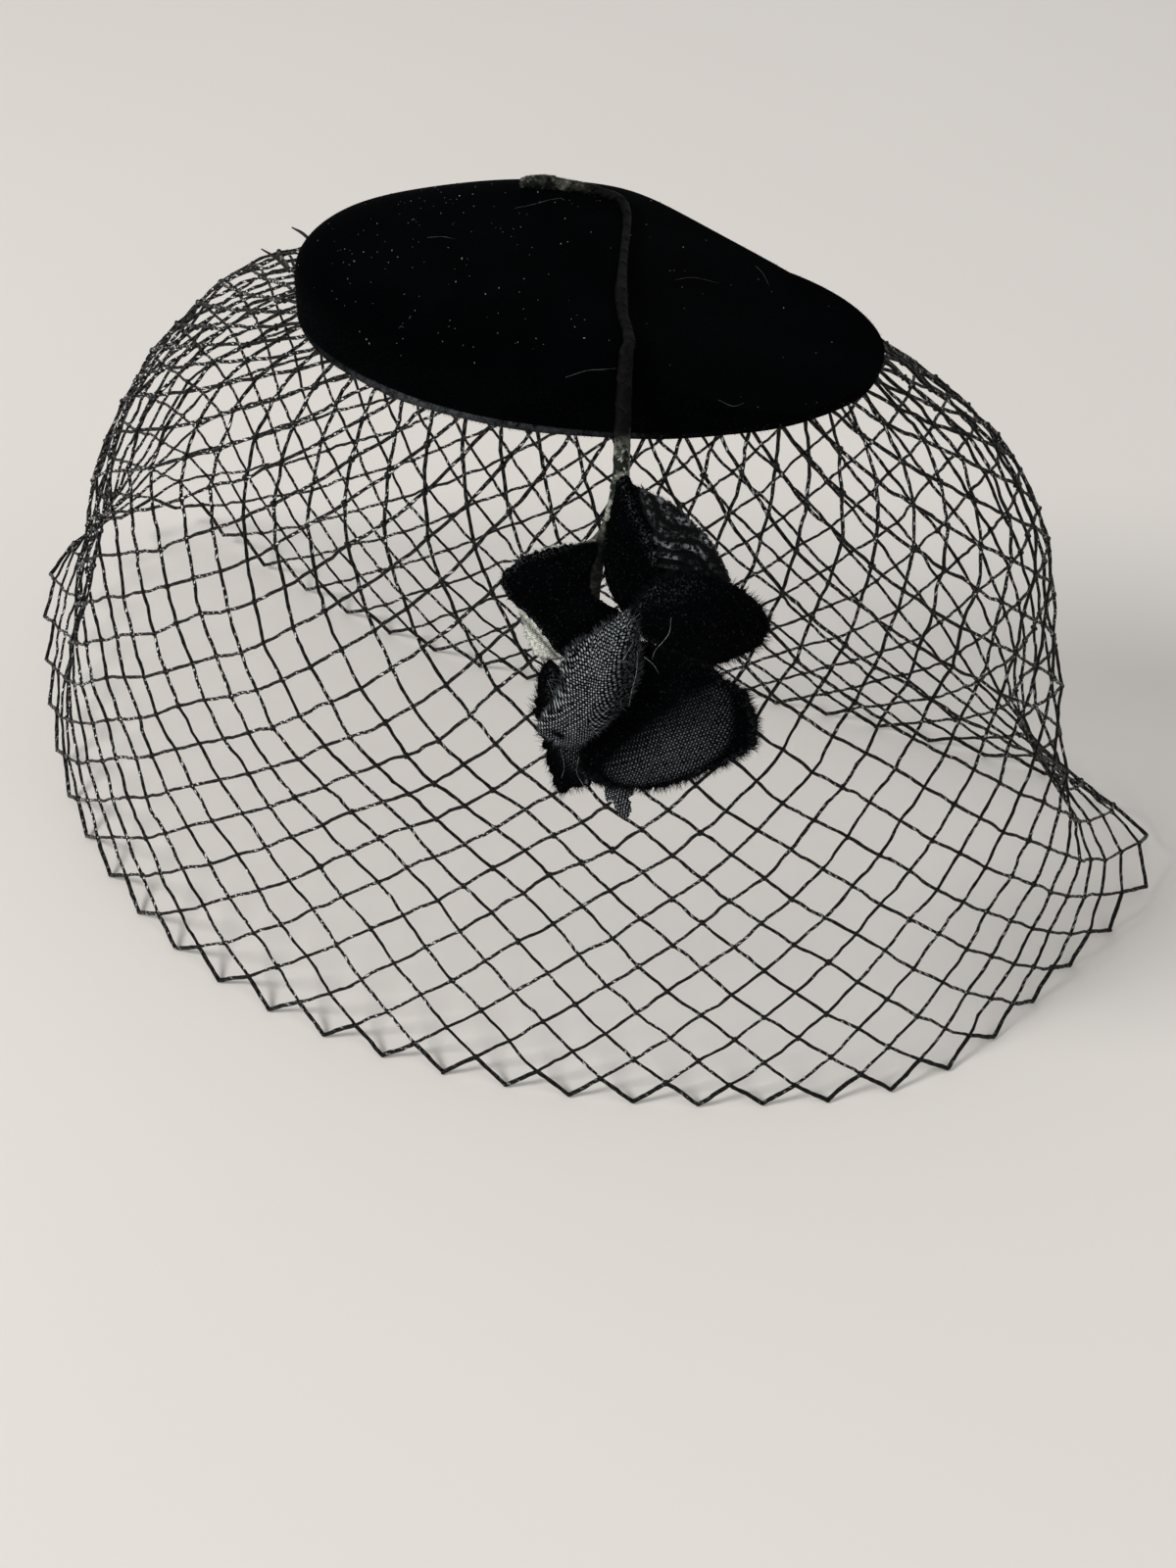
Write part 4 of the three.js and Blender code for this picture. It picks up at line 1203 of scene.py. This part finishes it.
# the rolled lip of the bottom petal
lip = [(1.5, 60.5), (3.6, 56.5), (8, 50.5), (13.5, 45), (19, 39.2), (22.6, 36.8), (25.6, 38), (27.0, 43.5),
       (26.4, 50), (22.2, 55.2), (16.5, 59.4), (9.5, 62.2), (4.5, 62.2)]
makePetal(
    "petal_bottom", "petal_velvet", petalCloth, {
        "outline": [
            (5.5, 31.6, 8), (13, 31.4, 8.4), (18.5, 32.4, 8.8), (24.5, 35.0, 9.2), (29.4, 38.2, 9.8),
            (31.6, 42.6, 10.2), (32.4, 48.6, 10.6), (31, 51.6, 10.8), (26.5, 54.8, 11.2),
            (21, 58.6, 11.4), (15.5, 61.6, 11.6), (9.5, 63.5, 11.8), (3.0, 63.8, 11.8), (-2.0, 63, 11.4),
            (-4.2, 58.6, 10.8), (-3.0, 54.5, 10.2), (1.5, 48.6, 9.4), (4.6, 43, 8.6), (5.6, 37, 8.2),
        ],
        "middle": (14, 47, 8.4), "around": 160, "rings": 34, "crumple": 0.1, "spin": -14,
        "seed": 15, "fuzzSeed": 37,
    }, softPile,
    # the woven back shows on the lip, dimmed overall and painted darker towards its upper left edge and
    # higher up: painted shade where the lip turns away from the light
    woven=lambda right, down, share, crease: (
        0.38 * softInside(right, down, lip, 2.2) * ramp(0.749 * (right - 2) + 0.662 * (down - 58.5), -1, 6.5)
        * (0.55 + 0.45 * ramp(down, 44, 8))),
    worn=lambda right, down, share, crease: 0.3 * ramp(share, 0.9, 0.1) * (right > 20),
    raised=lambda right, down: 3.6 * softInside(right, down, lip, 9.0))

makePetal(
    "petal_low_left", "petal_velvet", petalCloth, {
        "outline": [
            (-13.6, 41.0, 5), (-11, 41.6, 5.4), (-8.6, 46, 6), (-7, 54, 7), (-4.5, 60.5, 8),
            (-1, 63.6, 8.4), (2.5, 65.8, 8.4), (-1.5, 67.6, 7.8), (-5, 69.4, 7.2), (-9.2, 71.8, 6.6),
            (-11.2, 68.5, 6), (-12.6, 63.5, 5.8), (-14.0, 58.5, 5.4), (-15.4, 54, 5), (-15.6, 49.5, 4.6),
            (-15.0, 45, 4.6),
        ],
        "middle": (-8.5, 57, 7.0), "crumple": 0.3, "ragged": 0.35, "seed": 19, "fuzzSeed": 38,
    }, softPile,
    woven=lambda right, down, share, crease: 0.55 * bell((right + 6.0) / 2.6) * bell((down - 60.5) / 3.2),
    worn=lambda right, down, share, crease: (
        0.9 * bell((right + 3.4 - 0.12 * (down - 63)) / 0.9) * (down > 58)
        + 0.5 * bell((right + 12) / 1.2) * bell((down - 46) / 4)))

makePetal(
    "cloth_tab", "petal_backing", petalCloth, {
        "outline": [
            (1.2, 63.5, 8.6), (6.8, 63.2, 8.6), (7.4, 68.6, 8), (6.3, 69.6, 7.8), (7.0, 72.4, 7.6),
            (6.2, 75.8, 7.2), (5.0, 75.6, 7.2), (3.4, 73.4, 7.4), (2.6, 71.0, 7.8), (1.4, 71.4, 7.8),
        ],
        "middle": (4.6, 68, 8.4), "around": 72, "rings": 10, "ragged": 0.16, "spin": -8, "thickness": 0.5,
        "seed": 23, "fuzzSeed": 39,
    }, tabFray, frayFibre,
    woven=lambda right, down, share, crease: 0.95)
print("petals made")


looseFibres = {
    "spray_fibres": {        # right, down, out of each fibre's points
        "slot": "petal_backing", "radius": 0.045, "lines": [
            [(7.0, 31, 12.5), (7.2, 35, 13.5), (6.6, 39, 14), (6.2, 43, 14)],
            [(13.4, 21.5, 13), (13.2, 25, 13.6), (10.8, 29, 13.8), (10.2, 31.6, 13.2)],
            [(8.4, 31.6, 12.6), (10.4, 32.8, 13), (11.6, 35, 12.4)],
            [(5.4, 28.4, 12), (4.6, 25, 12.2), (6.8, 22.4, 11.6)],
            [(6.0, 28.6, 12.4), (4.4, 31.8, 15.4), (2.6, 33.6, 16)],
            [(-12.8, 44.4, 6.4), (-11, 48, 7.2), (-9.8, 50.6, 7.4)],
            [(-9, 60, 8), (-8, 64, 8.4), (-8.6, 67.4, 8)],
            [(-4.2, 58.6, 11.8), (-4.8, 63.4, 10.6), (-3.4, 68.2, 8.8), (-4.6, 70.4, 8)],
            [(31.6, 50.2, 11.2), (33.4, 49.4, 11.4), (34.6, 48.8, 11.2)],
        ],
    },
    "hat_fibres": {          # x and y of each fibre's points; it lies this far above the crown
        "slot": "velvet", "radius": 0.032, "above": 0.35, "lines": [
            [(-19, 18), (-15, 21), (-12.5, 23.4), (-10, 25)],
            [(5, -34.4), (9, -33.4), (12, -32.8), (15, -32)],
            [(19, 8), (22, 13), (27, 16)],
            [(33, 30), (35, 28), (37, 24)],
            [(54, 4), (56, 1), (56, -2)],
            [(35, -28), (38, -27.6), (40, -25)],
            [(-34, 2), (-31, 3), (-28, 2.6)],
            [(-31.5, -28), (-31, -27.6), (-30.5, -28)],
        ],
    },
    "thread_ends": {         # two ends of the net's thread that stand out behind the left end of the base
        "slot": "net", "radius": 0.42, "lines": [
            [(-66, 21, 179), (-71, 25.4, 180), (-75, 28, 180)],
            [(-71, 14, 177), (-75, 17.2, 178), (-80, 20.5, 178)],
        ],
    },
}


def onCrown(line):
    x, y = np.array(line, dtype=float).T
    return np.column_stack([x, y, crownAt(x, y) + looseFibres["hat_fibres"]["above"]])


def makeFibres(name, material, place):
    fibres = looseFibres[name]
    radius = fibres["radius"]
    pieces = []
    for index, line in enumerate(fibres["lines"]):
        radii = [radius * 0.8] + [radius] * (len(line) - 2) + [radius * 0.4]
        part = "%s_%d" % (name[:-1], index)
        pieces.append(makeTube(part, place(line), radii, material, sides=5, steps=22))
    bpy.ops.object.select_all(action="DESELECT")
    for piece in pieces:
        piece.select_set(True)
    bpy.context.view_layer.objects.active = pieces[0]
    bpy.ops.object.join()
    pieces[0].name = name
    return pieces[0]


sprayFibres = makeFibres("spray_fibres", lintFibre, onSpray)
hatFibres = makeFibres("hat_fibres", hatFibre, onCrown)
threadEnds = makeFibres("thread_ends", knotThread, np.array)
for piece in (sprayFibres, hatFibres, threadEnds):
    finishPiece(piece, looseFibres[piece.name]["slot"])

combPiece = bpy.data.objects["hair_comb"]
for slot in combPiece.material_slots:
    slot.material = combPlastic
print("fibres and comb made")

makeCamera()
makeFloor()
makeLights()

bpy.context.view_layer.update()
meshes = [piece.data for piece in bpy.data.objects if piece.type == "MESH"]
print("triangles:", sum(len(face.vertices) - 2 for mesh in meshes for face in mesh.polygons))
